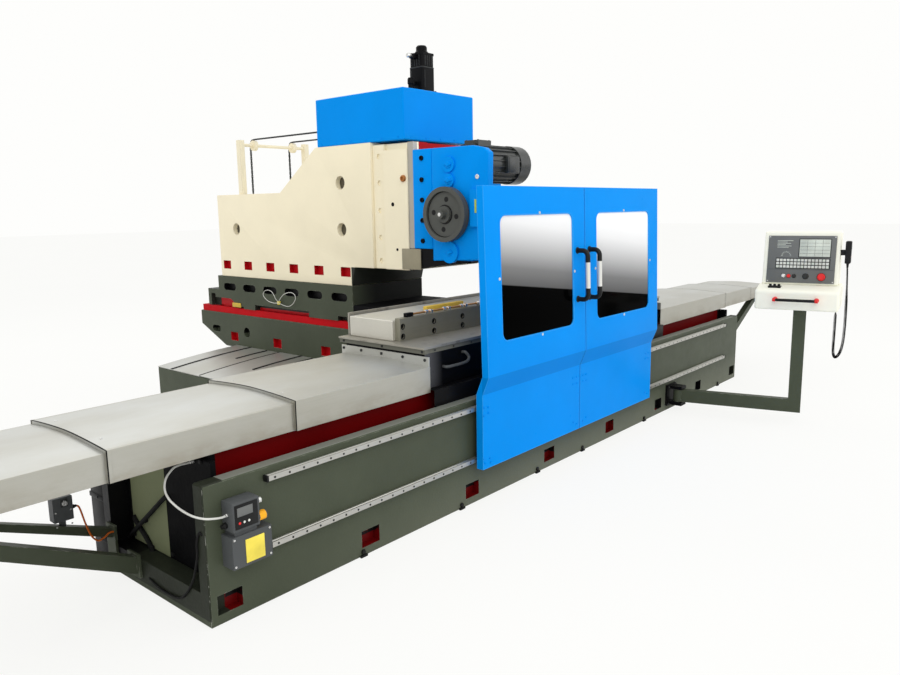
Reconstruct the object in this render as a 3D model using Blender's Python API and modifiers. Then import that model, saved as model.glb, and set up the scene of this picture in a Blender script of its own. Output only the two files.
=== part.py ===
"""Rack milling machine: a long bed with a sliding table between telescopic covers, a cross bed
behind it that carries a column with the milling head, and sliding guard doors in front.

Frame: metres, +X to the right along the bed, +Y back to the column, +Z up.
The origin is the centre of the bed's underside, on the floor.
"""
import math

import bmesh
import bpy
from mathutils import Matrix, Vector

# Clearances
SEAT = 0.0003
SLIDE_FIT = 0.0005
RUNNING = 0.006

# Bed
BED_LENGTH = 5.79
BED_WIDTH = 0.88
BED_HEIGHT = 0.61
BED_WALL = 0.065
BED_FLOOR = 0.14
BED_BEVEL = 0.006
POCKET_COUNT = 8
POCKET_PITCH = 0.8
POCKET_WIDTH = 0.12
POCKET_HEIGHT = 0.085
POCKET_DEPTH = 0.045
POCKET_Z = 0.087

# Inner bed with the table's ways
CORE_LENGTH = 5.59
CORE_HALF = 0.30
WAY_TOP = 0.70
WAY_WIDTH = 0.12
WAY_GROOVE = 0.05
END_PLATE_GAP = 0.005
END_PLATE_TOP = 0.67
END_PLATE_THICK = 0.012

# Guard door rails
RAIL_HEIGHT = 0.024
RAIL_DEPTH = 0.028
RAIL_WAIST = 0.004
RAIL_X = (-2.605, 2.545)
RAIL_Z = (0.265, 0.563)

# Table, tray and fixture
TABLE_LENGTH = 2.83
TABLE_X = -0.025
TABLE_HALF = 0.315
TABLE_TOP = 0.922
TABLE_SKIRT = 0.012
TABLE_STRIP_HEIGHT = 0.025
TABLE_STRIP_THICK = 0.012
TRAY_THICK = 0.010
TRAY_FRONT = 0.115
TRAY_BACK = 0.80
TRAY_OVERHANG = 0.02
TRAY_LIP = 0.004
SPLASH_THICK = 0.012
SPLASH_TOP = 1.066
SPLASH_INSET = 0.055
FIXTURE_FRONT = 0.41
FIXTURE_BACK = 0.765
FIXTURE_TOP = 1.05
FIXTURE_INSET = 0.04
JAW_FRONT = 0.37
JAW_TOP = 1.062
JAW_INSET = 0.064
JAW_BOLT_RADIUS = 0.013
JAW_BOLT_DEPTH = 0.018
JAW_BOLT_PITCH = 0.266
JAW_BOLT_PAIRS = 11
JAW_BOLT_Z = (0.958, 1.015)

# Telescopic way covers of the table
COVER_HALF = 0.35
COVER_BOTTOM = 0.69
COVER_SHOULDER = 0.830
COVER_CROWN = 0.847
COVER_SHEET = 0.004
COVER_STEP = 0.013
COVER_LIP = 0.018
COVER_OVERLAP = 0.34
COVER_ARC_STEPS = 10
COVER_LEFT = (-2.349, -3.205, -4.065)
COVER_RIGHT = (2.81, 3.54, 4.065)
COVER_FLANGE_TOP = 0.884
COVER_FLANGE_THICK = 0.008

# Supports of the outer cover ends
STRUT_TAPER = 0.02
STRUTS_LEFT = ((0.457, 0.10, 0.08, 0.06), (1.03, 0.20, 0.045, 0.04))
STRUTS_RIGHT = ((-0.543, 0.10, 0.08, 0.06), (0.457, 0.10, 0.08, 0.06))
STRUT_PLATE_THICK = 0.012
STRUT_PLATE_MARGIN = 0.02
STRUT_PLATE_BOTTOM = 0.05
CROSSBAR_HEIGHT = 0.06
CROSSBAR_WIDTH = 0.05
SUPPORT_INSET = 0.01
SUPPORT_PLATE = 0.008

# Rear base, its arched covers and the cross bed
REAR_HALF = 1.20
REAR_BACK = 3.445
REAR_TOP = 0.377
REAR_CROWN = 0.452
REAR_SHEET = 0.006
REAR_SECTIONS = 4
PEDESTAL_HALF = 0.36
PEDESTAL_INSET = 0.06
REAR_SECTION_STEP = 0.004
CROSS_HALF = 0.405
CROSS_FRONT = 0.90
CROSS_BACK = 4.02
CROSS_BOTTOM = 0.42
CROSS_TOP = 0.733
CROSS_TAIL_Z = 0.605
CROSS_TAIL_Y = 3.62
CROSS_POCKETS = (2.18, 2.828, 3.475)
CROSS_POCKET = (0.115, 0.08)
CROSS_POCKET_Z = 0.523
CROSS_POCKET_DEPTH = 0.05
CROSS_HOLE = (3.276, 0.576)
CROSS_HOLE_RADIUS = 0.047
CROSS_OBLONG = (3.766, 0.574)
CROSS_OBLONG_SIZE = (0.135, 0.06)
CROSS_WAY_HALF = 0.395
CROSS_WAY_WIDTH = 0.14
CROSS_WAY_TOP = 0.792

# Saddle
SADDLE_HALF = 0.405
SADDLE_FRONT = 1.83
SADDLE_BACK = 3.69
SADDLE_TOP = 1.083
SADDLE_KEEL = 0.03
SADDLE_FLANGE_BACK = 3.87
SADDLE_FLANGE_TOP = 0.953
SADDLE_FLANGE_GAP = 0.005
SADDLE_RECESS_DEPTH = 0.05
SADDLE_RECESSES = (((1.90, 0.78), (2.014, 0.78), (2.014, 0.832), (1.90, 0.832)),
                   ((2.375, 0.78), (3.13, 0.78), (3.13, 0.841), (2.375, 0.841)),
                   ((3.30, 0.78), (3.82, 0.78), (3.82, 0.91), (3.75, 0.91), (3.75, 0.875), (3.50, 0.875),
                    (3.40, 0.815), (3.30, 0.81)))
SLOT_COUNT = 6
SLOT_FIRST = 1.988
SLOT_PITCH = 0.303
SLOT_SIZE = (0.19, 0.065)
SLOT_DEPTH = 0.05
SLOT_Z = 0.985

# Apron over the cross ways
APRON_SECTIONS = 2
APRON_HALF = 0.40
APRON_TOP = 0.93
APRON_STEP = 0.014
APRON_SHEET = 0.004
APRON_OVERLAP = 0.33
APRON_END = 0.03

# Column
COLUMN_HALF = 0.405
COLUMN_FRONT = 1.58
COLUMN_BACK = 3.62
COLUMN_FOOT_FRONT = 1.79
COLUMN_FRONT_Z = 1.23
COLUMN_LOW_TOP = 1.82
COLUMN_TOP = 2.16
COLUMN_STEP_Y = 2.69
COLUMN_SLOPE_Y = 2.21
COLUMN_POCKETS = 6
COLUMN_POCKET_FIRST = 1.899
COLUMN_POCKET_PITCH = 0.324
COLUMN_POCKET_W = 0.115
COLUMN_POCKET_H = 0.075
COLUMN_POCKET_Z = 1.19
COLUMN_POCKET_DEPTH = 0.04
COLUMN_HOLE_RADIUS = 0.052
COLUMN_HOLE_DEPTH = 0.05
COLUMN_HOLES = ((1.925, 1.878), (1.925, 1.520), (3.34, 1.515))
BAND_INSET = 0.022
BAND_SCALLOP_Y = 1.515
BAND_SCALLOP_RADIUS = 0.02
BAND_SCALLOP_Z = (1.29, 1.464, 1.661, 1.864, 2.055)
SLIDE_PANEL_BACK = 1.455
SLIDE_PANEL_TOP = 2.094
WAY_FRONT = 1.21
WAY_THICK = 0.054
COLUMN_WAY_WIDTH = 0.15
WAY_EDGE = 0.01
WAY_WEB = 0.015
PANEL_NOTCH = 0.045

# Head
HEAD_SLIDE_FRONT = 0.977
HEAD_BOTTOM = 1.39
HEAD_TOP = 2.082
HEAD_NOSE = ((0.615, 2.08), (0.52, 2.06), (0.482, 2.03), (0.496, 1.35), (0.53, 1.328))
HEAD_PLATE = 0.06
HEAD_DEPTH = 0.21
HEAD_BODY_FRONT = 0.64
HEAD_BODY_TOP = 1.81
HEAD_LOW = 1.307
HEAD_BEVEL = 0.008
HEAD_BOSSES = ((1.965, 0.052), (1.858, 0.046), (1.372, 0.075))
HEAD_BOSS_RISE = 0.014
SIGHT_BOX = ((0.50, 1.549), (0.62, 1.793))
SIGHT_RISE = 0.025
SKIRT_Y = (0.86, 1.079)
SKIRT_LOW = (1.283, 1.257)
SKIRT_WIDTH = 0.25
ARBOR_Y = 0.815
ARBOR_Z = 1.372
ARBOR_RADIUS = 0.03
ARBOR_LENGTH = 0.36
CUTTER_RADIUS = 0.11
CUTTER_THICK = 0.05
CUTTER_TEETH = 16
CUTTER_TOOTH = 0.012
CUTTER_X = 0.03
WHEEL_Y = 0.815
WHEEL_Z = 1.631
WHEEL_RADIUS = 0.186
WHEEL_THICK = 0.05
WHEEL_GAP = 0.02
WHEEL_RECESS = (0.056, 0.155, 0.018)
WHEEL_HOLE_COUNT = 4
WHEEL_HOLE_CIRCLE = 0.102
WHEEL_HOLE_RADIUS = 0.012
WHEEL_HOLE_TURN = 8.0
WHEEL_HUB_REACH = 0.04
SHAFT_RADIUS = 0.03
MOTOR_Y = 0.70
MOTOR_Z = 1.968
MOTOR_RADIUS = 0.120
MOTOR_END = 0.21
MOTOR_COWL_RADIUS = 0.135
MOTOR_FLANGE = 0.02
MOTOR_FAN = 0.12
MOTOR_FINS = 20
MOTOR_FIN_HEIGHT = 0.011
MOTOR_BOX_LENGTH = 0.14
MOTOR_BOX_WIDTH = 0.12
MOTOR_BOX_TOP = 0.155

# Drive cover and lift motor on the column
BOX_FRONT = 1.24
BOX_BACK = 2.19
BOX_TOP = 2.52
BOX_HALF = 0.395
SERVO_Y = 1.46
SERVO_X = 0.05
SERVO_STEPS = ((0.165, 0.03), (0.14, 0.31), (0.085, 0.365))
SERVO_PLUGS = (0.09, 0.28)
SERVO_PLUG_SIZE = (0.09, 0.03, 0.042)

# Counterweight chains
CHAIN_FRAME_Y = 3.27
CHAIN_FRAME_HALF = 0.36
CHAIN_FRAME_TOP = 2.29
CHAIN_POST = 0.05
PULLEY_X = 0.215
PULLEY_RADIUS = 0.045
PULLEY_WIDTH = 0.03
PULLEY_SHAFT = 0.014
PULLEY_Z = 2.25
CHAIN_RADIUS = 0.008

# Guard doors
DOOR_LOW_Y = -0.083
DOOR_FOLD_Y = -0.127
DOOR_TOP_Y = -0.095
DOOR_SHEET = 0.006
DOOR_BOTTOM = 0.22
DOOR_TOP = 1.79
DOOR_JOG = (0.650, 0.755)
DOOR_EDGES = (-1.204, -0.169, 0.868)
DOOR_SLIT = 0.010
DOOR_RETURN = 0.045
WINDOW_MARGIN = 0.138
WINDOW_Z = (0.935, 1.633)
WINDOW_CORNER = 0.05
PANE_THICK = 0.006
PANE_BORDER = 0.02
HANDLE_Z = (1.095, 1.40)
HANDLE_REACH = 0.075
HANDLE_BEND = 0.035
HANDLE_RADIUS = 0.013
HANDLE_EDGES = (0.088, 0.048)
CARRIAGE_LENGTH = 0.09
CARRIAGE_HEIGHT = 0.056
STILE_WIDTH = 0.06
STILE_THICK = 0.012
RUNNER_INSET = 0.06
RAIL_GAP = 0.006

# Console, its arm and its bracket
PIVOT_X = 1.415
PIVOT_Y = -0.075
PIVOT_RADIUS = 0.02
EYE_RADIUS = 0.04
ARM_BOTTOM = 0.08
ARM_HEIGHT = 0.10
ARM_WIDTH = 0.06
POST_X = 1.635
POST_Y = -0.915
POST_WIDTH = 0.09
POST_TOP = 0.884
CONSOLE_TURN = 10.0
CONSOLE_SHIFT = 0.02
DESK_HALF = 0.286
DESK_FRONT = 1.49
DESK_BACK = 1.91
DESK_LIP = 1.02
DESK_SHELF = 1.06
CABINET_HALF = 0.263
CABINET_TOP = 1.458
CABINET_FOOT_X = 1.655
CABINET_HEAD_X = 1.72
CABINET_BACK = 1.88
PANEL_THICK = 0.008
PANEL_MARGIN = 0.028
PANEL_KNOBS = ((0.14, 0.045, 0.022, 0.03), (0.055, 0.045, 0.013, 0.018), (-0.06, 0.045, 0.014, 0.016),
               (-0.10, 0.045, 0.009, 0.01))
HANDLE_DESK_Z = 0.965
HANDLE_DESK_HALF = 0.14
HANDLE_DESK_REACH = 0.055
PENDANT_X = 1.71
PENDANT_WIDTH = 0.075
PENDANT_THICK = 0.04
PENDANT_GAP = 0.008
PENDANT_Z = (1.225, 1.39)
CURL_RADIUS = 0.011
CURL_OFFSETS = ((0, 0, 0), (0, 0, -0.03), (0, -0.004, -0.12), (0, -0.008, -0.24), (-0.002, -0.010, -0.36),
                (0, -0.010, -0.48), (0.004, -0.004, -0.60), (0.015, 0.014, -0.680), (0.040, 0.042, -0.715),
                (0.070, 0.058, -0.690), (0.085, 0.062, -0.62), (0.088, 0.062, -0.52), (0.088, 0.062, -0.43))
GLAND_RADIUS = 0.014
GLAND_LENGTH = 0.03

# Lubrication pump on the bed's front and its hose
PUMP_X = (-2.815, -2.685)
PUMP_Z = (0.405, 0.53)
PUMP_DEPTH = 0.08
TANK_X = (-2.822, -2.632)
TANK_Z = (0.25, 0.387)
KNOB_RADIUS = 0.02
HOSE_RADIUS = 0.0045
HOSE_POINTS = ((-2.8075, -0.245, 0.650), (-2.835, -0.245, 0.650), (-2.875, -0.247, 0.652),
               (-2.905, -0.250, 0.645), (-2.940, -0.255, 0.615), (-2.954, -0.265, 0.575),
               (-2.958, -0.300, 0.545), (-2.952, -0.345, 0.522), (-2.945, -0.390, 0.508),
               (-2.935, -0.440, 0.499), (-2.905, -0.476, 0.489), (-2.850, -0.486, 0.478),
               (-2.8155, -0.486, 0.478))

# Limit switch on the left cover support and its cable
SWITCH_X = -3.115
SWITCH_SIZE = (0.085, 0.05, 0.11)
SWITCH_STEM = 0.024
SWITCH_RISE = 0.026
SWITCH_CABLE_RADIUS = 0.004
SWITCH_CABLE_POINTS = ((-3.0718, 0.348, 0.385), (-3.056, 0.348, 0.385), (-3.044, 0.340, 0.372),
                       (-3.032, 0.324, 0.300), (-3.013, 0.320, 0.235), (-2.985, 0.322, 0.200),
                       (-2.955, 0.324, 0.203), (-2.930, 0.329, 0.215), (-2.9077, 0.329, 0.215))


def back(distance):
    """Y of a point that lies this far behind the bed's front face."""
    return distance - BED_WIDTH / 2


def clear_scene():
    for item in list(bpy.data.objects):
        bpy.data.objects.remove(item, do_unlink=True)


def make_collection(name):
    collection = bpy.data.collections.new(name)
    bpy.context.scene.collection.children.link(collection)
    return collection


def paint(name, colour, roughness, metallic=0.0):
    material = bpy.data.materials.new(name)
    material.use_nodes = True
    shader = material.node_tree.nodes["Principled BSDF"]
    shader.inputs["Base Color"].default_value = (*colour, 1.0)
    shader.inputs["Roughness"].default_value = roughness
    shader.inputs["Metallic"].default_value = metallic
    material.diffuse_color = (*colour, 1.0)
    return material


clear_scene()
PARTS = make_collection("rack_milling_machine")
CUTTERS = make_collection("cutters")

CASTING = paint("casting_grey_green", (0.075, 0.085, 0.075), 0.45)
RED = paint("inner_red", (0.35, 0.0, 0.0), 0.5)
BLUE = paint("guard_blue", (0.0, 0.26, 0.82), 0.35)
CREAM = paint("column_cream", (0.90, 0.82, 0.62), 0.45)
STAINLESS = paint("cover_stainless", (0.60, 0.60, 0.56), 0.35, 0.9)
STEEL = paint("ground_steel", (0.55, 0.54, 0.52), 0.3, 1.0)
BLACK = paint("black_parts", (0.015, 0.015, 0.015), 0.5)
GREY = paint("grey_parts", (0.16, 0.17, 0.17), 0.45)
GLASS = paint("window_pane", (0.05, 0.05, 0.055), 0.1)
ORANGE = paint("cable_orange", (0.75, 0.18, 0.02), 0.5)
WHITE = paint("hose_white", (0.75, 0.75, 0.72), 0.5)


def add_box(mesh, low, high):
    """A cube primitive stretched between two corners."""
    low, high = Vector(low), Vector(high)
    size = Matrix.Diagonal((*(high - low), 1.0))
    bmesh.ops.create_cube(mesh, size=1.0, matrix=Matrix.Translation((low + high) / 2) @ size)


def axis_turn(axis):
    """Rotation that takes +Z to the named axis."""
    target = {"X": (1, 0, 0), "Y": (0, 1, 0), "Z": (0, 0, 1)}[axis]
    return Vector((0, 0, 1)).rotation_difference(Vector(target)).to_matrix().to_4x4()


def add_cylinder(mesh, centre, axis, radius, length, segments=24):
    place = Matrix.Translation(Vector(centre)) @ axis_turn(axis)
    bmesh.ops.create_cone(mesh, cap_ends=True, segments=segments, radius1=radius,
                          radius2=radius, depth=length, matrix=place)


def world_place(item):
    """Place of an empty in the machine's frame, summed over its carriers."""
    place = item.location.copy()
    while item.parent is not None:
        item = item.parent
        place += item.location
    return place


def hold(child, carrier):
    """Parent an object to a joint's empty without moving it."""
    if carrier is not None:
        child.parent = carrier
        child.location = child.location - world_place(carrier)


def finish(name, mesh, material, carrier=None, origin=(0, 0, 0)):
    """Turn a bmesh drawn in the machine's frame into a named object."""
    bmesh.ops.translate(mesh, verts=mesh.verts, vec=-Vector(origin))
    data = bpy.data.meshes.new(name)
    mesh.to_mesh(data)
    mesh.free()
    item = bpy.data.objects.new(name, data)
    item.location = origin
    data.materials.append(material)
    PARTS.objects.link(item)
    hold(item, carrier)
    return item


def box(name, low, high, material, carrier=None):
    mesh = bmesh.new()
    add_box(mesh, low, high)
    centre = (Vector(low) + Vector(high)) / 2
    return finish(name, mesh, material, carrier, centre)


def cylinder(name, centre, axis, radius, length, material, carrier=None, segments=32):
    mesh = bmesh.new()
    add_cylinder(mesh, centre, axis, radius, length, segments)
    item = finish(name, mesh, material, carrier, centre)
    smooth(item)
    return item


def smooth(item, angle=35):
    item.data.shade_smooth()
    item.data.set_sharp_from_angle(angle=math.radians(angle))


PLANES = {
    "YZ": Matrix(((0, 0, 1), (1, 0, 0), (0, 1, 0))).to_4x4(),
    "XZ": Matrix(((1, 0, 0), (0, 0, -1), (0, 1, 0))).to_4x4(),
    "XY": Matrix.Identity(4),
}
NORMALS = {"YZ": Vector((1, 0, 0)), "XZ": Vector((0, 1, 0)), "XY": Vector((0, 0, 1))}


def merge(mesh, piece):
    """Add a second bmesh's faces to the first one."""
    data = bpy.data.meshes.new("piece")
    piece.to_mesh(data)
    piece.free()
    mesh.from_mesh(data)
    bpy.data.meshes.remove(data)


def outline_mesh(outline, plane, start, end):
    """Mesh of a closed flat outline with thickness, made from a filled 2D curve."""
    curve = bpy.data.curves.new("outline", "CURVE")
    curve.dimensions = "2D"
    curve.fill_mode = "BOTH"
    curve.extrude = (end - start) / 2
    spline = curve.splines.new("POLY")
    spline.points.add(len(outline) - 1)
    for point, (u, v) in zip(spline.points, outline):
        point.co = (u, v, 0, 1)
    spline.use_cyclic_u = True
    drawing = bpy.data.objects.new("outline", curve)
    PARTS.objects.link(drawing)
    graph = bpy.context.evaluated_depsgraph_get()
    data = bpy.data.meshes.new_from_object(drawing.evaluated_get(graph))
    bpy.data.objects.remove(drawing, do_unlink=True)
    mesh = bmesh.new()
    mesh.from_mesh(data)
    bpy.data.meshes.remove(data)
    bmesh.ops.remove_doubles(mesh, verts=mesh.verts, dist=0.00001)
    place = Matrix.Translation(NORMALS[plane] * (start + end) / 2) @ PLANES[plane]
    bmesh.ops.transform(mesh, matrix=place, verts=mesh.verts)
    bmesh.ops.recalc_face_normals(mesh, faces=mesh.faces)
    return mesh


def prism(name, outline, plane, start, end, material, carrier=None, origin=(0, 0, 0)):
    return finish(name, outline_mesh(outline, plane, start, end), material, carrier, origin)


def helper(item, mesh, name, operation, carrier):
    """Hidden solid used by a Boolean modifier on the item."""
    tool = finish(name, mesh, BLACK, carrier)
    PARTS.objects.unlink(tool)
    CUTTERS.objects.link(tool)
    tool.hide_render = True
    tool.display_type = "WIRE"
    modifier = item.modifiers.new(name, "BOOLEAN")
    modifier.operation = operation
    modifier.object = tool


def cut(item, mesh, name="cut"):
    helper(item, mesh, item.name + "_" + name, "DIFFERENCE", item.parent)


def join(item, mesh, name="join"):
    helper(item, mesh, item.name + "_" + name, "UNION", item.parent)


def bevel(item, width, segments=1, angle=30):
    modifier = item.modifiers.new("rounded_edges", "BEVEL")
    modifier.width = width
    modifier.segments = segments
    modifier.limit_method = "ANGLE"
    modifier.angle_limit = math.radians(angle)


def arc(centre, radius, first, last, steps):
    """Points on an arc, angles in degrees."""
    points = []
    for index in range(steps + 1):
        angle = math.radians(first + (last - first) * index / steps)
        points.append((centre[0] + radius * math.cos(angle), centre[1] + radius * math.sin(angle)))
    return points


def round_rectangle(low, high, radius, steps=4):
    (u0, v0), (u1, v1) = low, high
    points = arc((u1 - radius, v0 + radius), radius, -90, 0, steps)
    points += arc((u1 - radius, v1 - radius), radius, 0, 90, steps)
    points += arc((u0 + radius, v1 - radius), radius, 90, 180, steps)
    points += arc((u0 + radius, v0 + radius), radius, 180, 270, steps)
    return points


def tube(name, points, radius, material, carrier=None, resolution=2, sides=2):
    """A round bar or cord along a smooth line through the route's points."""
    route = smooth_route(points, resolution)
    curve = bpy.data.curves.new(name, "CURVE")
    curve.dimensions = "3D"
    curve.bevel_depth = radius
    curve.bevel_resolution = sides
    curve.use_fill_caps = True
    spline = curve.splines.new("POLY")
    spline.points.add(len(route) - 1)
    for point, place in zip(spline.points, route):
        point.co = (*place, 1)
    item = bpy.data.objects.new(name, curve)
    curve.materials.append(material)
    PARTS.objects.link(item)
    hold(item, carrier)
    return item


def smooth_route(points, steps):
    """Catmull-Rom points through the route, with each span cut into steps."""
    if steps < 2:
        return [Vector(point) for point in points]
    route = [Vector(point) for point in points]
    padded = [2 * route[0] - route[1]] + route + [2 * route[-1] - route[-2]]
    result = []
    for index in range(1, len(padded) - 2):
        p0, p1, p2, p3 = padded[index - 1:index + 3]
        for step in range(steps):
            t = step / steps
            result.append(0.5 * (2 * p1 + (p2 - p0) * t + (2 * p0 - 5 * p1 + 4 * p2 - p3) * t ** 2
                                 + (3 * p1 - p0 - 3 * p2 + p3) * t ** 3))
    result.append(route[-1])
    return result


def axis_empty(name, place):
    empty = bpy.data.objects.new(name, None)
    empty.location = place
    PARTS.objects.link(empty)
    return empty


def build_bed():
    half_x, half_y = BED_LENGTH / 2, BED_WIDTH / 2
    bed = box("bed_casting", (-half_x, -half_y, 0), (half_x, half_y, BED_HEIGHT), CASTING)
    bevel(bed, BED_BEVEL)
    trough = bmesh.new()
    inner = half_y - BED_WALL
    add_box(trough, (-half_x - 0.1, -inner, BED_FLOOR), (half_x + 0.1, inner, BED_HEIGHT + 0.1))
    cut(bed, trough, "trough")
    pockets = bmesh.new()
    for side in (-1, 1):
        for index in range(POCKET_COUNT):
            x = (index - (POCKET_COUNT - 1) / 2) * POCKET_PITCH
            y = side * half_y
            add_box(pockets, (x - POCKET_WIDTH / 2, y - POCKET_DEPTH, POCKET_Z - POCKET_HEIGHT / 2),
                    (x + POCKET_WIDTH / 2, y + POCKET_DEPTH, POCKET_Z + POCKET_HEIGHT / 2))
    cut(bed, pockets, "pockets")

    floor = BED_FLOOR + SEAT
    groove_z = WAY_TOP - WAY_GROOVE
    inner_way = CORE_HALF - WAY_WIDTH
    outline = [(-CORE_HALF, floor), (CORE_HALF, floor), (CORE_HALF, WAY_TOP), (inner_way, WAY_TOP),
               (inner_way, groove_z), (-inner_way, groove_z), (-inner_way, WAY_TOP), (-CORE_HALF, WAY_TOP)]
    core = prism("inner_bed", outline, "YZ", -CORE_LENGTH / 2, CORE_LENGTH / 2, RED)
    plate_half = inner - END_PLATE_GAP
    plates = bmesh.new()
    for side in (-1, 1):
        middle = side * CORE_LENGTH / 2
        add_box(plates, (middle - END_PLATE_THICK, -plate_half, floor + END_PLATE_GAP),
                (middle + END_PLATE_THICK, plate_half, END_PLATE_TOP))
    join(core, plates, "end_plates")
    for name, z in zip(("rail_lower", "rail_upper"), RAIL_Z):
        build_rail(name, z)


def build_rail(name, z):
    """Profile rail: a waisted section with its base on the bed's front face."""
    base = back(-SEAT)
    front = back(-RAIL_DEPTH)
    half, waist = RAIL_HEIGHT / 2, RAIL_HEIGHT / 2 - RAIL_WAIST
    third = RAIL_DEPTH / 3
    outline = [(base, z - half), (base, z + half), (base - third, z + half), (base - 1.4 * third, z + waist),
               (front + 1.1 * third, z + waist), (front + 0.7 * third, z + half), (front, z + half),
               (front, z - half), (front + 0.7 * third, z - half), (front + 1.1 * third, z - waist),
               (base - 1.4 * third, z - waist), (base - third, z - half)]
    prism(name, outline, "YZ", RAIL_X[0], RAIL_X[1], STEEL)


def build_table(carrier):
    x0, x1 = TABLE_X - TABLE_LENGTH / 2, TABLE_X + TABLE_LENGTH / 2
    under = WAY_TOP + SLIDE_FIT
    centre = (TABLE_X, 0, under)
    inner_way = CORE_HALF - WAY_WIDTH
    skirt = WAY_TOP - TABLE_SKIRT
    key = inner_way - SLIDE_FIT
    outline = [(-TABLE_HALF, skirt), (-CORE_HALF - RUNNING, skirt), (-CORE_HALF - RUNNING, under),
               (-key, under), (-key, under - WAY_GROOVE / 2), (key, under - WAY_GROOVE / 2), (key, under),
               (CORE_HALF + RUNNING, under), (CORE_HALF + RUNNING, skirt), (TABLE_HALF, skirt),
               (TABLE_HALF, TABLE_TOP), (-TABLE_HALF, TABLE_TOP)]
    table = prism("table", outline, "YZ", x0, x1, BLACK, carrier, centre)
    front, rear = back(TRAY_FRONT), back(TRAY_BACK)
    strips = bmesh.new()
    for end in (x0, x1):
        add_box(strips, (end - TABLE_STRIP_THICK, front, TABLE_TOP - TABLE_STRIP_HEIGHT),
                (end + TABLE_STRIP_THICK, rear, TABLE_TOP))
    join(table, strips, "end_strips")
    tray_top = TABLE_TOP + TRAY_THICK
    lip = tray_top + TRAY_LIP
    outline = [(front, TABLE_TOP + SEAT), (rear, TABLE_TOP + SEAT), (rear, tray_top),
               (front + TRAY_LIP, tray_top), (front + TRAY_LIP, lip), (front, lip)]
    tray = prism("tray", outline, "YZ", x0 - TRAY_OVERHANG, x1 + TRAY_OVERHANG, STAINLESS, carrier)
    splash = bmesh.new()
    splash_back = rear - TRAY_LIP
    add_box(splash, (x0 + SPLASH_INSET, splash_back - SPLASH_THICK, tray_top - TRAY_THICK / 2),
            (x1 - SPLASH_INSET, splash_back, SPLASH_TOP))
    join(tray, splash, "splash_strip")
    left, right = x0 + FIXTURE_INSET, x1 - FIXTURE_INSET
    fixture = box("fixture_block", (left, back(FIXTURE_FRONT) + SEAT, tray_top + SEAT),
                  (right, back(FIXTURE_BACK), FIXTURE_TOP), STEEL, carrier)
    bevel(fixture, 0.004)
    jaw = box("fixture_jaw", (x0 + JAW_INSET, back(JAW_FRONT), tray_top + SEAT),
              (x1 - JAW_INSET, back(FIXTURE_FRONT), JAW_TOP), STEEL, carrier)
    bolts = bmesh.new()
    for index in range(JAW_BOLT_PAIRS):
        x = (index - (JAW_BOLT_PAIRS - 1) / 2) * JAW_BOLT_PITCH + TABLE_X
        for z in JAW_BOLT_Z:
            add_cylinder(bolts, (x, back(JAW_FRONT), z), "Y", JAW_BOLT_RADIUS, 2 * JAW_BOLT_DEPTH, 12)
    cut(jaw, bolts, "bolts")


def cover_arch(rank, grow=0.0):
    """Half width, shoulder height and crown height of a cover section's outside."""
    inset = rank * COVER_STEP - grow
    return COVER_HALF - inset, COVER_SHOULDER - inset, COVER_CROWN - inset


def arch_points(half, shoulder, crown):
    """Crowned top edge from the right shoulder to the left one."""
    points = []
    for index in range(COVER_ARC_STEPS + 1):
        t = 1 - 2 * index / COVER_ARC_STEPS
        points.append((half * t, shoulder + (crown - shoulder) * (1 - abs(t) ** 1.6)))
    return points


def cover_section(rank, inner):
    """Outline of a folded cover sheet, open below; inner is the gap inside to the outer face."""
    half, shoulder, crown = cover_arch(rank)
    outer = arch_points(half, shoulder, crown)
    core = arch_points(half - inner, shoulder - inner, crown - inner)
    core.reverse()
    outline = [(half, COVER_BOTTOM)] + outer + [(-half, COVER_BOTTOM), (-half + inner, COVER_BOTTOM)]
    return outline + core + [(half - inner, COVER_BOTTOM)]


def build_cover(name, rank, near, far, hidden, material, carrier, last):
    """One telescopic section from near to far, reaching a hidden length under its neighbour."""
    sign = 1 if far > near else -1
    start = near - sign * hidden
    low, high = min(start, far), max(start, far)
    item = prism(name, cover_section(rank, COVER_SHEET), "YZ", low, high, material, carrier,
                 (near, 0, COVER_BOTTOM))
    if not last:
        lip = COVER_STEP - SLIDE_FIT
        edges = sorted((far, far - sign * COVER_LIP))
        join(item, outline_mesh(cover_section(rank, lip), "YZ", edges[0], edges[1]), "lip")
    return item


def build_covers(carriers):
    """Covers on both sides of the table; the first section is bolted to the table's end."""
    for side, sign, seams in (("left", -1, COVER_LEFT), ("right", 1, COVER_RIGHT)):
        places = (TABLE_X + sign * (TABLE_LENGTH / 2 + SEAT),) + seams
        sections = len(seams)
        for index in range(sections):
            near, far = places[index], places[index + 1]
            hidden = 0.0 if index == 0 else COVER_OVERLAP
            carrier = carriers.get((side, index))
            cover = build_cover("cover_%s_%d" % (side, index + 1), index, near, far, hidden, STAINLESS,
                                carrier, index == sections - 1)
            if index == 0:
                join(cover, cover_flange(near, sign), "flange")


def cover_flange(near, sign):
    """Upright strip on the first section's top, along the table's end."""
    inset = COVER_SHEET / 2
    half, shoulder, crown = cover_arch(0, -inset)
    outline = arch_points(half, shoulder, crown) + [(-half, COVER_FLANGE_TOP), (half, COVER_FLANGE_TOP)]
    edges = sorted((near, near + sign * COVER_FLANGE_THICK))
    return outline_mesh(outline, "YZ", edges[0], edges[1])


def strut_line(side, cover_end):
    """X of the bed's end and of the crossbar's middle."""
    foot_x = side * (BED_LENGTH / 2 + SEAT)
    middle = cover_end - side * (SUPPORT_INSET + CROSSBAR_WIDTH / 2)
    return foot_x, middle


def strut_top(side, cover_end, foot_z, height, x):
    """Height of a strut's upper edge above the floor at the given X."""
    foot_x, middle = strut_line(side, cover_end)
    rise = COVER_BOTTOM - SEAT - CROSSBAR_HEIGHT / 2 - foot_z - STRUT_TAPER
    return foot_z + height / 2 + rise * (x - foot_x) / (middle - foot_x)


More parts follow.
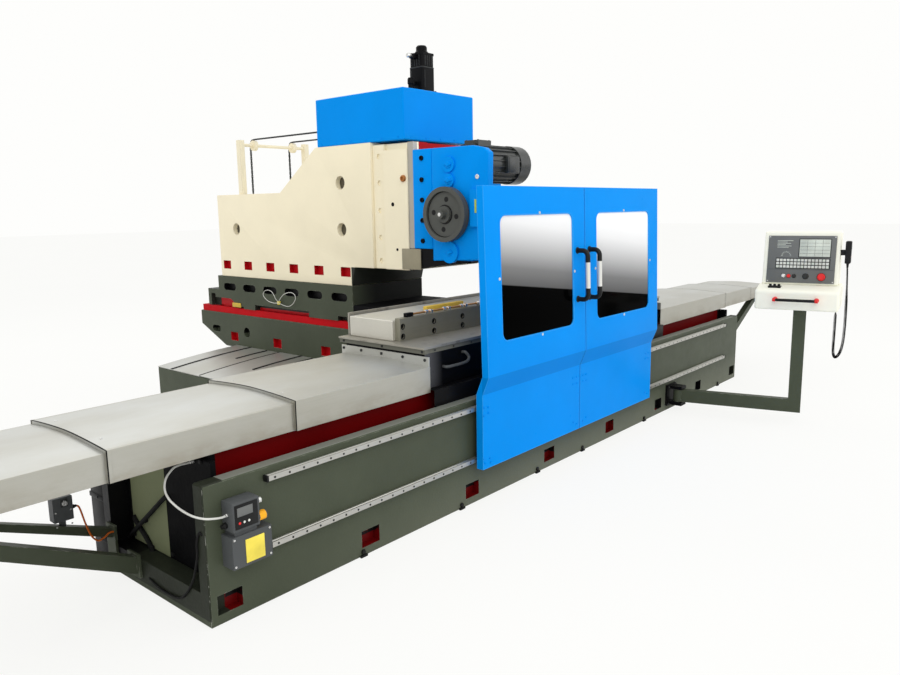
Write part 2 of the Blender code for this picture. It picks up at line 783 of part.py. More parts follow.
def build_support(name, side, cover_end, struts, rank):
    """Sloping struts from the bed's end to a crossbar under the cover's outer end."""
    foot_x, middle = strut_line(side, cover_end)
    end_x = cover_end - side * SUPPORT_INSET
    bar_top = COVER_BOTTOM - SEAT
    half, shoulder, crown = cover_arch(rank)
    reach = max([half] + [share * COVER_HALF + width / 2 for share, foot, height, width in struts])
    bar_half = CROSSBAR_WIDTH / 2
    support = box(name, (middle - bar_half, -half, bar_top - CROSSBAR_HEIGHT),
                  (middle + bar_half, reach, bar_top), CASTING)
    plates = bmesh.new()
    for index, (share, foot, height, width) in enumerate(struts):
        y = share * COVER_HALF
        rise = bar_top - CROSSBAR_HEIGHT / 2 - foot
        drop = height / 2
        outline = [(foot_x, foot - drop), (middle, foot - drop + rise),
                   (middle, strut_top(side, cover_end, foot, height, middle)), (foot_x, foot + drop)]
        join(support, outline_mesh(outline, "XZ", y - width / 2, y + width / 2), "strut_%d" % index)
        edges = sorted((foot_x, foot_x + side * STRUT_PLATE_THICK))
        side_reach = width / 2 + STRUT_PLATE_MARGIN
        add_box(plates, (edges[0], y - side_reach, STRUT_PLATE_BOTTOM),
                (edges[1], y + side_reach, foot + drop + STRUT_PLATE_MARGIN))
    join(support, plates, "foot_plates")
    inner_half = half - COVER_SHEET - SEAT
    inner_drop = COVER_SHEET + SEAT
    low = bar_top - CROSSBAR_HEIGHT / 4
    arch = arch_points(inner_half, shoulder - inner_drop, crown - inner_drop)
    plate = [(inner_half, low)] + arch + [(-inner_half, low)]
    edges = sorted((end_x, end_x - side * SUPPORT_PLATE))
    join(support, outline_mesh(plate, "YZ", edges[0], edges[1]), "end_plate")


def build_rear():
    front = back(BED_WIDTH + SEAT)
    rear = back(REAR_BACK)
    base = box("rear_base", (-REAR_HALF, front, 0), (REAR_HALF, rear, REAR_TOP - REAR_SHEET), CASTING)
    bevel(base, BED_BEVEL)
    slot = CROSS_HALF + SEAT
    section = (rear - front) / REAR_SECTIONS
    for name, side in (("rear_cover_left", -1), ("rear_cover_right", 1)):
        parts = []
        for index in range(REAR_SECTIONS):
            lift = REAR_SECTION_STEP * (REAR_SECTIONS - 1 - index)
            outline = rear_arch(side, slot, lift)
            start = front + section * index
            stop = start + section
            if index < REAR_SECTIONS - 1:
                stop = stop + REAR_SHEET
            parts.append(outline_mesh(outline, "XZ", start, stop))
        cover = finish(name, parts[0], STAINLESS)
        for index, mesh in enumerate(parts[1:]):
            join(cover, mesh, "section_%d" % index)
    pedestal = bmesh.new()
    add_box(pedestal, (-PEDESTAL_HALF, front + PEDESTAL_INSET, REAR_TOP - 0.1),
            (PEDESTAL_HALF, rear - PEDESTAL_INSET, CROSS_BOTTOM - SEAT))
    join(base, pedestal, "pedestal")


def rear_arch(side, slot, lift):
    """One side of the arched sheet, from the outer wall to the cross bed's flank."""
    steps = 8
    top, low = [], []
    for index in range(steps + 1):
        x = REAR_HALF + (slot - REAR_HALF) * index / steps
        z = REAR_TOP + (REAR_CROWN - REAR_TOP) * (1 - (x / REAR_HALF) ** 2)
        top.append((side * x, z + lift))
        low.append((side * x, z + lift - REAR_SHEET + SEAT))
    low.reverse()
    return top + low


def build_cross_bed():
    outline = [(back(CROSS_FRONT), CROSS_BOTTOM), (back(CROSS_TAIL_Y), CROSS_BOTTOM),
               (back(CROSS_BACK), CROSS_TAIL_Z), (back(CROSS_BACK), CROSS_TOP),
               (back(CROSS_FRONT), CROSS_TOP)]
    bed = prism("cross_bed", outline, "YZ", -CROSS_HALF, CROSS_HALF, CASTING)
    bevel(bed, BED_BEVEL)
    pockets = bmesh.new()
    depth = CROSS_POCKET_DEPTH
    half_y, half_z = CROSS_POCKET[0] / 2, CROSS_POCKET[1] / 2
    for side in (-1, 1):
        x = side * CROSS_HALF
        for y in CROSS_POCKETS:
            add_box(pockets, (x - depth, back(y) - half_y, CROSS_POCKET_Z - half_z),
                    (x + depth, back(y) + half_y, CROSS_POCKET_Z + half_z))
        add_cylinder(pockets, (x, back(CROSS_HOLE[0]), CROSS_HOLE[1]), "X", CROSS_HOLE_RADIUS, 2 * depth, 16)
        add_slot(pockets, x, back(CROSS_OBLONG[0]), CROSS_OBLONG[1], CROSS_OBLONG_SIZE, depth)
    cut(bed, pockets, "pockets")
    ways = box("cross_ways", (-CROSS_WAY_HALF, back(CROSS_FRONT + 0.02), CROSS_TOP + SEAT),
               (CROSS_WAY_HALF, back(CROSS_BACK - 0.03), CROSS_WAY_TOP), RED)
    gap = bmesh.new()
    inner = CROSS_WAY_HALF - CROSS_WAY_WIDTH
    add_box(gap, (-inner, back(CROSS_FRONT - 0.1), CROSS_TOP + 0.015),
            (inner, back(CROSS_BACK + 0.1), CROSS_WAY_TOP + 0.1))
    cut(ways, gap, "channel")


def build_saddle(carrier):
    seat = CROSS_WAY_TOP + SLIDE_FIT
    key = CROSS_WAY_HALF - CROSS_WAY_WIDTH - SLIDE_FIT
    keel = seat - SADDLE_KEEL
    front, rear, flange = back(SADDLE_FRONT), back(SADDLE_BACK), back(SADDLE_FLANGE_BACK)
    flange_low = seat + SADDLE_FLANGE_GAP
    outline = [(front, keel), (rear, keel), (rear, flange_low), (flange, flange_low),
               (flange, SADDLE_FLANGE_TOP), (rear, SADDLE_FLANGE_TOP), (rear, SADDLE_TOP), (front, SADDLE_TOP)]
    place = (0, front, seat)
    saddle = prism("saddle", outline, "YZ", -SADDLE_HALF, SADDLE_HALF, CASTING, carrier, place)
    bevel(saddle, 0.004)
    sides = bmesh.new()
    for side in (-1, 1):
        edges = sorted((side * key, side * (SADDLE_HALF + SADDLE_KEEL)))
        add_box(sides, (edges[0], front - SADDLE_KEEL, keel - SADDLE_KEEL), (edges[1], flange, seat))
    cut(saddle, sides, "sides")
    slots = bmesh.new()
    for side in (-1, 1):
        x = side * SADDLE_HALF
        for index in range(SLOT_COUNT):
            y = back(SLOT_FIRST + index * SLOT_PITCH)
            add_slot(slots, x, y, SLOT_Z, SLOT_SIZE, SLOT_DEPTH)
        for outline in SADDLE_RECESSES:
            recess = [(back(y), z) for y, z in outline]
            merge(slots, outline_mesh(recess, "YZ", x - SADDLE_RECESS_DEPTH, x + SADDLE_RECESS_DEPTH))
    cut(saddle, slots, "slots")


def add_slot(mesh, x, y, z, size, depth):
    """Oblong cutter with round ends, drawn as one extruded outline."""
    radius = size[1] / 2
    shift = size[0] / 2 - radius
    outline = arc((y + shift, z), radius, -90, 90, 6) + arc((y - shift, z), radius, 90, 270, 6)
    merge(mesh, outline_mesh(outline, "YZ", x - depth, x + depth))


def build_apron(carriers):
    """Flat telescopic cover over the cross ways; the first section is bolted to the saddle."""
    start, end = SADDLE_FRONT - SEAT, CROSS_FRONT + APRON_END
    length = (start - end) / APRON_SECTIONS
    low = CROSS_WAY_TOP + RUNNING
    for index in range(APRON_SECTIONS):
        near = start - index * length
        far = near - length
        hidden = APRON_OVERLAP if index else 0.0
        item = prism("apron_%d" % (index + 1), apron_section(index, APRON_SHEET, low), "XZ",
                     back(far), back(near + hidden), BLACK, carriers[index], (0, back(near), low))
        if index < APRON_SECTIONS - 1:
            lip = apron_section(index, APRON_STEP - SLIDE_FIT, low)
            join(item, outline_mesh(lip, "XZ", back(far), back(far + COVER_LIP)), "lip")


def apron_section(rank, sheet, low):
    half, top = APRON_HALF - rank * APRON_STEP, APRON_TOP - rank * APRON_STEP
    return [(-half, low), (-half + sheet, low), (-half + sheet, top - sheet), (half - sheet, top - sheet),
            (half - sheet, low), (half, low), (half, top), (-half, top)]


def build_column(carrier):
    foot = SADDLE_TOP + SEAT
    outline = [(back(COLUMN_FOOT_FRONT + 0.04), foot), (back(COLUMN_BACK), foot),
               (back(COLUMN_BACK), COLUMN_LOW_TOP), (back(COLUMN_STEP_Y), COLUMN_LOW_TOP),
               (back(COLUMN_SLOPE_Y), COLUMN_TOP), (back(COLUMN_FRONT), COLUMN_TOP),
               (back(COLUMN_FRONT), COLUMN_FRONT_Z), (back(COLUMN_FOOT_FRONT), COLUMN_FRONT_Z)]
    place = (0, back(COLUMN_FRONT), foot)
    column = prism("column", outline, "YZ", -COLUMN_HALF, COLUMN_HALF, CREAM, carrier, place)
    bevel(column, 0.008, 2)
    holes = bmesh.new()
    for side in (-1, 1):
        x = side * COLUMN_HALF
        for index in range(COLUMN_POCKETS):
            y = back(COLUMN_POCKET_FIRST + index * COLUMN_POCKET_PITCH)
            reach = Vector((COLUMN_POCKET_DEPTH, COLUMN_POCKET_W / 2, COLUMN_POCKET_H / 2))
            centre = Vector((x, y, COLUMN_POCKET_Z))
            add_box(holes, centre - reach, centre + reach)
        for y, z in COLUMN_HOLES:
            add_cylinder(holes, (x, back(y), z), "X", COLUMN_HOLE_RADIUS, 2 * COLUMN_HOLE_DEPTH, 20)
    cut(column, holes, "holes")
    band = COLUMN_HALF - BAND_INSET
    outline = [(-COLUMN_HALF, back(WAY_FRONT)), (COLUMN_HALF, back(WAY_FRONT)),
               (COLUMN_HALF, back(SLIDE_PANEL_BACK)), (band, back(SLIDE_PANEL_BACK)),
               (band, back(COLUMN_FRONT - SEAT)), (-band, back(COLUMN_FRONT - SEAT)),
               (-band, back(SLIDE_PANEL_BACK)), (-COLUMN_HALF, back(SLIDE_PANEL_BACK))]
    front = prism("column_front", outline, "XY", COLUMN_FRONT_Z, COLUMN_TOP - 0.02, CREAM, carrier,
                  (0, back(WAY_FRONT), COLUMN_FRONT_Z))
    bevel(front, 0.005)
    marks = bmesh.new()
    for side in (-1, 1):
        edge = side * COLUMN_HALF
        add_box(marks, (edge - PANEL_NOTCH, back(WAY_FRONT) - 0.05, SLIDE_PANEL_TOP),
                (edge + PANEL_NOTCH, back(SLIDE_PANEL_BACK), COLUMN_TOP))
        for z in BAND_SCALLOP_Z:
            add_cylinder(marks, (side * band, back(BAND_SCALLOP_Y), z), "X", BAND_SCALLOP_RADIUS,
                         BAND_SCALLOP_RADIUS, 12)
    cut(front, marks, "marks")
    outer = COLUMN_HALF - WAY_EDGE
    inner = outer - COLUMN_WAY_WIDTH
    rear, face, web = back(WAY_FRONT - SEAT), back(WAY_FRONT - WAY_THICK), back(WAY_FRONT - WAY_WEB)
    outline = [(-outer, face), (-inner, face), (-inner, web), (inner, web), (inner, face), (outer, face),
               (outer, rear), (-outer, rear)]
    prism("column_ways", outline, "XY", COLUMN_FRONT_Z + WAY_EDGE, COLUMN_TOP - 2 * WAY_EDGE, STEEL, carrier,
          (0, rear, COLUMN_FRONT_Z))


def build_drive(carrier):
    cover = box("drive_cover", (-BOX_HALF, back(BOX_FRONT), COLUMN_TOP + SEAT),
                (BOX_HALF, back(BOX_BACK), BOX_TOP), BLUE, carrier)
    bevel(cover, 0.006)
    y = back(SERVO_Y)
    side, rise = SERVO_STEPS[1]
    half = side / 2
    motor = box("lift_motor", (SERVO_X - half, y - half, BOX_TOP + SEAT),
                (SERVO_X + half, y + half, BOX_TOP + rise), BLACK, carrier)
    bevel(motor, 0.012, 2)
    steps = bmesh.new()
    for (width, top), foot in zip((SERVO_STEPS[0], SERVO_STEPS[2]), (SEAT, rise - 0.01)):
        add_box(steps, (SERVO_X - width / 2, y - width / 2, BOX_TOP + foot),
                (SERVO_X + width / 2, y + width / 2, BOX_TOP + top))
    join(motor, steps, "steps")
    plugs = bmesh.new()
    length, depth, height = SERVO_PLUG_SIZE
    for lift in SERVO_PLUGS:
        z = BOX_TOP + lift
        add_box(plugs, (SERVO_X - half - length, y - depth / 2, z - height / 2),
                (SERVO_X - half + depth / 2, y + depth / 2, z + height / 2))
    join(motor, plugs, "plugs")


def build_chains(carrier):
    y = back(CHAIN_FRAME_Y)
    half, post = CHAIN_FRAME_HALF, CHAIN_POST / 2
    foot = COLUMN_LOW_TOP + SEAT
    frame = box("chain_frame", (-half - post, y - post, foot), (-half + post, y + post, CHAIN_FRAME_TOP),
                CREAM, carrier)
    second = bmesh.new()
    add_box(second, (half - post, y - post, foot), (half + post, y + post, CHAIN_FRAME_TOP))
    join(frame, second, "post")
    shaft = bmesh.new()
    add_cylinder(shaft, (0, y, PULLEY_Z), "X", PULLEY_SHAFT, 2 * half, 12)
    join(frame, shaft, "shaft")
    for name, side in (("left", -1), ("right", 1)):
        x = side * PULLEY_X
        pulley = bmesh.new()
        add_cylinder(pulley, (x, y, PULLEY_Z), "X", PULLEY_RADIUS, PULLEY_WIDTH, 20)
        join(frame, pulley, "pulley_" + name)
        reach = PULLEY_RADIUS + CHAIN_RADIUS + SEAT
        turn = arc((y, PULLEY_Z), reach, 90, 0, 6)
        points = [(x, back(BOX_BACK) + SEAT, PULLEY_Z + reach)]
        points += [(x, v, w) for v, w in turn]
        points.append((x, y + reach, COLUMN_LOW_TOP + SEAT))
        tube("chain_" + name, points, CHAIN_RADIUS, BLACK, carrier, 1)


def build_head(carrier):
    back_face = back(WAY_FRONT - WAY_THICK) - SLIDE_FIT
    place = (0, back_face, HEAD_BOTTOM)
    slide = box("head_slide", (-COLUMN_HALF, back(HEAD_SLIDE_FRONT), HEAD_BOTTOM),
                (COLUMN_HALF, back_face, HEAD_TOP), BLUE, carrier)
    bevel(slide, 0.008, 2)
    near = back(HEAD_SLIDE_FRONT) - SEAT
    nose = [(back(y), z) for y, z in HEAD_NOSE]
    outline = [(near, HEAD_LOW), (near, HEAD_TOP)] + nose
    left = -COLUMN_HALF
    right = left + HEAD_DEPTH
    housing = prism("gear_housing", outline, "YZ", left, left + HEAD_PLATE, BLUE, carrier, place)
    bevel(housing, HEAD_BEVEL, 2)
    body = bmesh.new()
    add_box(body, (left + HEAD_PLATE / 2, back(HEAD_BODY_FRONT), HEAD_LOW + HEAD_BEVEL),
            (right, near, HEAD_BODY_TOP))
    join(housing, body, "body")
    bosses = bmesh.new()
    for z, radius in HEAD_BOSSES:
        add_cylinder(bosses, (left, back(ARBOR_Y), z), "X", radius, 2 * HEAD_BOSS_RISE, 32)
    join(housing, bosses, "bosses")
    sight = bmesh.new()
    (y0, z0), (y1, z1) = SIGHT_BOX
    add_box(sight, (left - SIGHT_RISE, back(y0), z0), (left + HEAD_PLATE / 2, back(y1), z1))
    join(housing, sight, "sight_box")
    bore = bmesh.new()
    add_cylinder(bore, (left, back(WHEEL_Y), WHEEL_Z), "X", SHAFT_RADIUS + SLIDE_FIT, 0.16, 24)
    add_cylinder(bore, (right, back(ARBOR_Y), ARBOR_Z), "X", ARBOR_RADIUS + SLIDE_FIT, 0.16, 24)
    cut(housing, bore, "bores")
    low_front, low_back = SKIRT_LOW
    outline = [(back(SKIRT_Y[1]), HEAD_BOTTOM - SEAT), (near + SEAT, HEAD_BOTTOM - SEAT),
               (near + SEAT, HEAD_LOW - SEAT), (back(SKIRT_Y[0]), HEAD_LOW - SEAT),
               (back(SKIRT_Y[0]), low_front), (back(SKIRT_Y[1]), low_back)]
    prism("head_skirt", outline, "YZ", left, left + SKIRT_WIDTH, BLACK, carrier, place)
    build_motor(carrier, left + HEAD_PLATE + SEAT)


def build_motor(carrier, start):
    """Finned spindle motor with its flange, fan cowl and terminal box."""
    y = back(MOTOR_Y)
    length = MOTOR_END - start
    motor = cylinder("spindle_motor", (start + length / 2, y, MOTOR_Z), "X", MOTOR_RADIUS, length, GREY,
                     carrier, 28)
    ends = bmesh.new()
    add_cylinder(ends, (start + MOTOR_FLANGE / 2, y, MOTOR_Z), "X", MOTOR_COWL_RADIUS, MOTOR_FLANGE, 28)
    add_cylinder(ends, (MOTOR_END - MOTOR_FAN / 2, y, MOTOR_Z), "X", MOTOR_COWL_RADIUS, MOTOR_FAN, 28)
    join(motor, ends, "cowls")
    fins = bmesh.new()
    fin_end = MOTOR_END - MOTOR_FAN + MOTOR_FLANGE / 2
    for index in range(MOTOR_FINS):
        turn = Matrix.Rotation(math.radians(360 / MOTOR_FINS * (index + 0.5)), 4, "X")
        fin = bmesh.new()
        add_box(fin, (start + MOTOR_FLANGE / 2, -0.0025, MOTOR_RADIUS - MOTOR_FIN_HEIGHT),
                (fin_end, 0.0025, MOTOR_RADIUS + MOTOR_FIN_HEIGHT))
        bmesh.ops.transform(fin, matrix=Matrix.Translation((0, y, MOTOR_Z)) @ turn, verts=fin.verts)
        merge(fins, fin)
    join(motor, fins, "fins")
    terminal = bmesh.new()
    low_x = start + MOTOR_FLANGE * 2
    add_box(terminal, (low_x, y - MOTOR_BOX_WIDTH / 2, MOTOR_Z),
            (low_x + MOTOR_BOX_LENGTH, y + MOTOR_BOX_WIDTH / 2, MOTOR_Z + MOTOR_BOX_TOP))
    join(motor, terminal, "terminal_box")


def build_wheel(carrier):
    """Dished flywheel on the input shaft's outer end."""
    left = -COLUMN_HALF
    x0 = left - WHEEL_GAP - WHEEL_THICK
    y = back(WHEEL_Y)
    hub_radius, rim_radius, depth = WHEEL_RECESS
    centre = (x0 + WHEEL_THICK / 2, y, WHEEL_Z)
    wheel = cylinder("flywheel", centre, "X", WHEEL_RADIUS, WHEEL_THICK, GREY, carrier, 48)
    recess = bmesh.new()
    add_cylinder(recess, (x0, y, WHEEL_Z), "X", rim_radius, 2 * depth, 40)
    cut(wheel, recess, "recess")
    hub = bmesh.new()
    add_cylinder(hub, (x0 + depth, y, WHEEL_Z), "X", hub_radius, 2 * depth, 32)
    join(wheel, hub, "boss")
    shaft = bmesh.new()
    shaft_end = left + 0.075
    start = x0 - WHEEL_HUB_REACH
    add_cylinder(shaft, ((start + shaft_end) / 2, y, WHEEL_Z), "X", SHAFT_RADIUS, shaft_end - start, 24)
    join(wheel, shaft, "shaft")
    holes = bmesh.new()
    for index in range(WHEEL_HOLE_COUNT):
        angle = math.radians(WHEEL_HOLE_TURN + 360 / WHEEL_HOLE_COUNT * index)
        place = (x0, y + WHEEL_HOLE_CIRCLE * math.cos(angle), WHEEL_Z + WHEEL_HOLE_CIRCLE * math.sin(angle))
        add_cylinder(holes, place, "X", WHEEL_HOLE_RADIUS, 3 * WHEEL_THICK, 12)
    cut(wheel, holes, "holes")


def build_arbor(carrier):
    """Milling arbor with a toothed disc cutter below the head."""
    x0 = -COLUMN_HALF + HEAD_DEPTH - 0.06
    y = back(ARBOR_Y)
    centre = (x0 + ARBOR_LENGTH / 2, y, ARBOR_Z)
    arbor = cylinder("cutter_arbor", centre, "X", ARBOR_RADIUS, ARBOR_LENGTH, STEEL, carrier, 24)
    outline = []
    for index in range(CUTTER_TEETH):
        for shift, radius in ((0, CUTTER_RADIUS), (0.65, CUTTER_RADIUS - CUTTER_TOOTH)):
            angle = 2 * math.pi * (index + shift) / CUTTER_TEETH
            outline.append((y + radius * math.cos(angle), ARBOR_Z + radius * math.sin(angle)))
    half = CUTTER_THICK / 2
    join(arbor, outline_mesh(outline, "YZ", CUTTER_X - half, CUTTER_X + half), "cutter")


def door_lean():
    """How far the door's upper face runs back for each metre of height."""
    return (DOOR_TOP_Y - DOOR_FOLD_Y) / (DOOR_TOP - DOOR_JOG[1])


def lean_mesh(mesh):
    """Shear a piece drawn at the fold so that it lies along the door's leaning face."""
    for vertex in mesh.verts:
        vertex.co.y += door_lean() * (vertex.co.z - DOOR_JOG[1])


def door_profile(inset):
    """Line of the door's folded skin from bottom to top, set back by the inset."""
    return [(back(DOOR_LOW_Y) + inset, DOOR_BOTTOM), (back(DOOR_LOW_Y) + inset, DOOR_JOG[0]),
            (back(DOOR_FOLD_Y) + inset, DOOR_JOG[1]), (back(DOOR_TOP_Y) + inset, DOOR_TOP)]


def build_door(side, x0, x1, carrier):
    outer, inner = door_profile(0), door_profile(DOOR_SHEET)
    inner.reverse()
    place = ((x0 + x1) / 2, back(DOOR_LOW_Y), DOOR_BOTTOM)
    door = prism("door_%s" % side, outer + inner, "YZ", x0, x1, BLUE, carrier, place)
    skin = DOOR_SHEET / 2
    for index, edge in enumerate((x0, x1 - DOOR_SHEET)):
        reach = door_profile(DOOR_RETURN)
        reach.reverse()
        outline = door_profile(skin) + reach
        join(door, outline_mesh(outline, "YZ", edge, edge + DOOR_SHEET), "return_%d" % index)
    ends = bmesh.new()
    for y, z in ((back(DOOR_TOP_Y), DOOR_TOP - DOOR_SHEET), (back(DOOR_LOW_Y), DOOR_BOTTOM)):
        add_box(ends, (x0 + skin, y + skin, z), (x1 - skin, y + DOOR_RETURN - skin, z + DOOR_SHEET))
    join(door, ends, "end_returns")
    low = (x0 + WINDOW_MARGIN, WINDOW_Z[0])
    high = (x1 - WINDOW_MARGIN, WINDOW_Z[1])
    hole = outline_mesh(round_rectangle(low, high, WINDOW_CORNER), "XZ", back(DOOR_FOLD_Y) - 0.1,
                        back(DOOR_TOP_Y) + DOOR_RETURN)
    cut(door, hole, "window")
    low = (low[0] - PANE_BORDER, low[1] - PANE_BORDER)
    high = (high[0] + PANE_BORDER, high[1] + PANE_BORDER)
    pane_y = back(DOOR_FOLD_Y) + DOOR_SHEET + SEAT
    pane = outline_mesh(round_rectangle(low, high, WINDOW_CORNER), "XZ", pane_y, pane_y + PANE_THICK)
    lean_mesh(pane)
    finish("window_%s" % side, pane, GLASS, carrier, place)


def build_runner(side, x0, x1, carrier):
    """Frame behind the door: two stiles and two bars that carry the rail carriages."""
    face = back(DOOR_LOW_Y) + DOOR_SHEET + SEAT
    rear = face + STILE_THICK
    inset, skin = RUNNER_INSET, STILE_THICK / 2
    z0, z1 = RAIL_Z[0] - CARRIAGE_HEIGHT / 2, RAIL_Z[1] + CARRIAGE_HEIGHT / 2
    runner = box("runner_%s" % side, (x0 + inset, face, z0), (x1 - inset, rear, z0 + CARRIAGE_HEIGHT),
                 CASTING, carrier)
    bar = bmesh.new()
    add_box(bar, (x0 + inset, face, z1 - CARRIAGE_HEIGHT), (x1 - inset, rear, z1))
    join(runner, bar, "upper_bar")
    stiles = bmesh.new()
    for edge in (x0 + inset, x1 - inset - STILE_WIDTH):
        add_box(stiles, (edge, face, z0), (edge + STILE_WIDTH, rear, z1))
    join(runner, stiles, "stiles")
    blocks = bmesh.new()
    for z in RAIL_Z:
        for edge in (x0 + inset + skin, x1 - inset - skin - CARRIAGE_LENGTH):
            add_box(blocks, (edge, rear - skin, z - CARRIAGE_HEIGHT / 2),
                    (edge + CARRIAGE_LENGTH, back(-RAIL_GAP), z + CARRIAGE_HEIGHT / 2))
    join(runner, blocks, "carriages")
    grooves = bmesh.new()
    for z in RAIL_Z:
        half = RAIL_HEIGHT / 2 + SLIDE_FIT
        add_box(grooves, (x0 - 0.1, back(-RAIL_DEPTH) - SLIDE_FIT, z - half), (x1 + 0.1, back(0.1), z + half))
    cut(runner, grooves, "rail_groove")


def build_handle(side, x, carrier):
    """D-shaped pull with two feet on the door's leaning face."""
    lean = door_lean()
    face = back(DOOR_FOLD_Y) - SEAT - lean * HANDLE_RADIUS
    grip = face - HANDLE_REACH
    z0, z1 = HANDLE_Z
    bend = HANDLE_BEND
    line = [(face, z0)]
    line += arc((grip + bend, z0 + bend), bend, 270, 180, 4)
    line += arc((grip + bend, z1 - bend), bend, 180, 90, 4)
    line.append((face, z1))
    points = [(x, y + lean * (z - DOOR_JOG[1]), z) for y, z in line]
    tube("handle_%s" % side, points, HANDLE_RADIUS, BLACK, carrier, 1, 3)


def build_doors(left, right):
    edge = DOOR_EDGES[1]
    gap = DOOR_SLIT / 2
    spans = (("left", DOOR_EDGES[0], edge - gap, edge - gap - HANDLE_EDGES[0], left),
             ("right", edge + gap, DOOR_EDGES[2], edge + gap + HANDLE_EDGES[1], right))
    for side, x0, x1, handle_x, carrier in spans:
        build_door(side, x0, x1, carrier)
        build_runner(side, x0, x1, carrier)
        build_handle(side, handle_x, carrier)


def build_console(carrier):
    """Swivel arm from the bed's front with the operator's console on its post."""
    arm_top = ARM_BOTTOM + ARM_HEIGHT
    plate_y = back(0) - SEAT
    bracket = box("console_bracket", (PIVOT_X - 0.085, plate_y - 0.016, ARM_BOTTOM - 0.035),
                  (PIVOT_X + 0.085, plate_y, arm_top + 0.035), CASTING)
    lugs = bmesh.new()
    for z in (ARM_BOTTOM - 0.03, arm_top + 0.005):
        add_box(lugs, (PIVOT_X - 0.045, back(PIVOT_Y) - 0.045, z),
                (PIVOT_X + 0.045, plate_y - 0.008, z + 0.025))
    join(bracket, lugs, "lugs")
    pin = bmesh.new()
    add_cylinder(pin, (PIVOT_X, back(PIVOT_Y), ARM_BOTTOM + ARM_HEIGHT / 2), "Z", PIVOT_RADIUS,
                 ARM_HEIGHT + 0.05, 24)
    join(bracket, pin, "pin")

    reach = Vector((POST_X - PIVOT_X, POST_Y - PIVOT_Y, 0))
    angle = math.atan2(reach.y, reach.x)
    turn = Matrix.Translation((PIVOT_X, back(PIVOT_Y), 0)) @ Matrix.Rotation(angle, 4, "Z")
    length = reach.length + POST_WIDTH / 2
    half = ARM_WIDTH / 2
    beam = bmesh.new()
    add_box(beam, (EYE_RADIUS * 0.7, -half, ARM_BOTTOM), (length, half, arm_top))
    bmesh.ops.transform(beam, matrix=turn, verts=beam.verts)
    arm = finish("console_arm", beam, CASTING, carrier, (PIVOT_X, back(PIVOT_Y), ARM_BOTTOM))
    eye = bmesh.new()
    add_cylinder(eye, (PIVOT_X, back(PIVOT_Y), ARM_BOTTOM + ARM_HEIGHT / 2), "Z", EYE_RADIUS, ARM_HEIGHT, 24)
    join(arm, eye, "eye")
    post = bmesh.new()
    add_box(post, (length - POST_WIDTH, -half, ARM_BOTTOM), (length, half, POST_TOP))
    bmesh.ops.transform(post, matrix=turn, verts=post.verts)
    join(arm, post, "post")
    bore = bmesh.new()
    add_cylinder(bore, (PIVOT_X, back(PIVOT_Y), ARM_BOTTOM + ARM_HEIGHT / 2), "Z", PIVOT_RADIUS + SLIDE_FIT,
                 2 * ARM_HEIGHT, 24)
    cut(arm, bore, "bore")
    turned = axis_empty("console_turn", (POST_X, back(POST_Y), POST_TOP))
    turned.rotation_euler.z = math.radians(CONSOLE_TURN)
    hold(turned, carrier)
    build_desk(turned)


def build_desk(carrier):
    """Desk and cabinet on the post, turned towards the machine's left end."""
    y = back(POST_Y) + CONSOLE_SHIFT
    desk_z = POST_TOP + SEAT
    shelf = DESK_SHELF
    outline = [(DESK_FRONT, desk_z), (DESK_BACK, desk_z), (DESK_BACK, shelf), (CABINET_FOOT_X, shelf),
               (DESK_FRONT + 0.02, DESK_LIP + 0.015), (DESK_FRONT, DESK_LIP)]
    desk = prism("console_desk", outline, "XZ", y - DESK_HALF, y + DESK_HALF, CREAM, carrier,
                 (POST_X, y, desk_z))
    bevel(desk, 0.015, 3)
    foot = shelf + SEAT
    outline = [(CABINET_FOOT_X + 0.005, foot), (CABINET_BACK, foot), (CABINET_BACK, CABINET_TOP),
               (CABINET_HEAD_X, CABINET_TOP)]
    cabinet = prism("console_cabinet", outline, "XZ", y - CABINET_HALF, y + CABINET_HALF, CREAM, carrier,
                    (POST_X, y, foot))
    bevel(cabinet, 0.012, 3)
    build_panel(carrier, y, foot)
    build_pendant(carrier, y, desk_z)


def panel_place(y, foot):
    """Matrix at the foot of the cabinet's sloping face: x along -Y, y up the face, z outwards."""
    up = Vector((CABINET_HEAD_X - CABINET_FOOT_X - 0.005, 0, CABINET_TOP - foot)).normalized()
    across = Vector((0, -1, 0))
    out = across.cross(up)
    turn = Matrix((across, up, out)).transposed().to_4x4()
    return Matrix.Translation((CABINET_FOOT_X + 0.005, y, foot)) @ turn


def build_panel(carrier, y, foot):
    """Grey operating panel with its knobs and the mushroom stop button."""
    place = panel_place(y, foot)
    half = CABINET_HALF - PANEL_MARGIN
    rise = CABINET_TOP - foot
    plate = bmesh.new()
    add_box(plate, (-half, PANEL_MARGIN * 0.5, SEAT), (half, rise - PANEL_MARGIN, PANEL_THICK))
    bmesh.ops.transform(plate, matrix=place, verts=plate.verts)
    panel = finish("console_panel", plate, GREY, carrier, place.translation)
    knobs = bmesh.new()
    for across, height, radius, depth in PANEL_KNOBS:
        centre = Matrix.Translation((across, height, PANEL_THICK + depth / 2 - 0.001))
        bmesh.ops.create_cone(knobs, cap_ends=True, segments=16, radius1=radius, radius2=radius * 0.9,
                              depth=depth, matrix=place @ centre)
    join(panel, knobs, "knobs")
    grip = DESK_FRONT - SEAT
    z, half = HANDLE_DESK_Z, HANDLE_DESK_HALF
    reach = HANDLE_DESK_REACH
    bend = 0.02
    points = [(grip, y + half, z)]
    points += [(v, w, z) for v, w in arc((grip - reach + bend, y + half - bend), bend, 90, 180, 3)]
    points += [(v, w, z) for v, w in arc((grip - reach + bend, y - half + bend), bend, 180, 270, 3)]
    points.append((grip, y - half, z))
    tube("console_handle", points, HANDLE_RADIUS, BLACK, carrier, 1, 2)


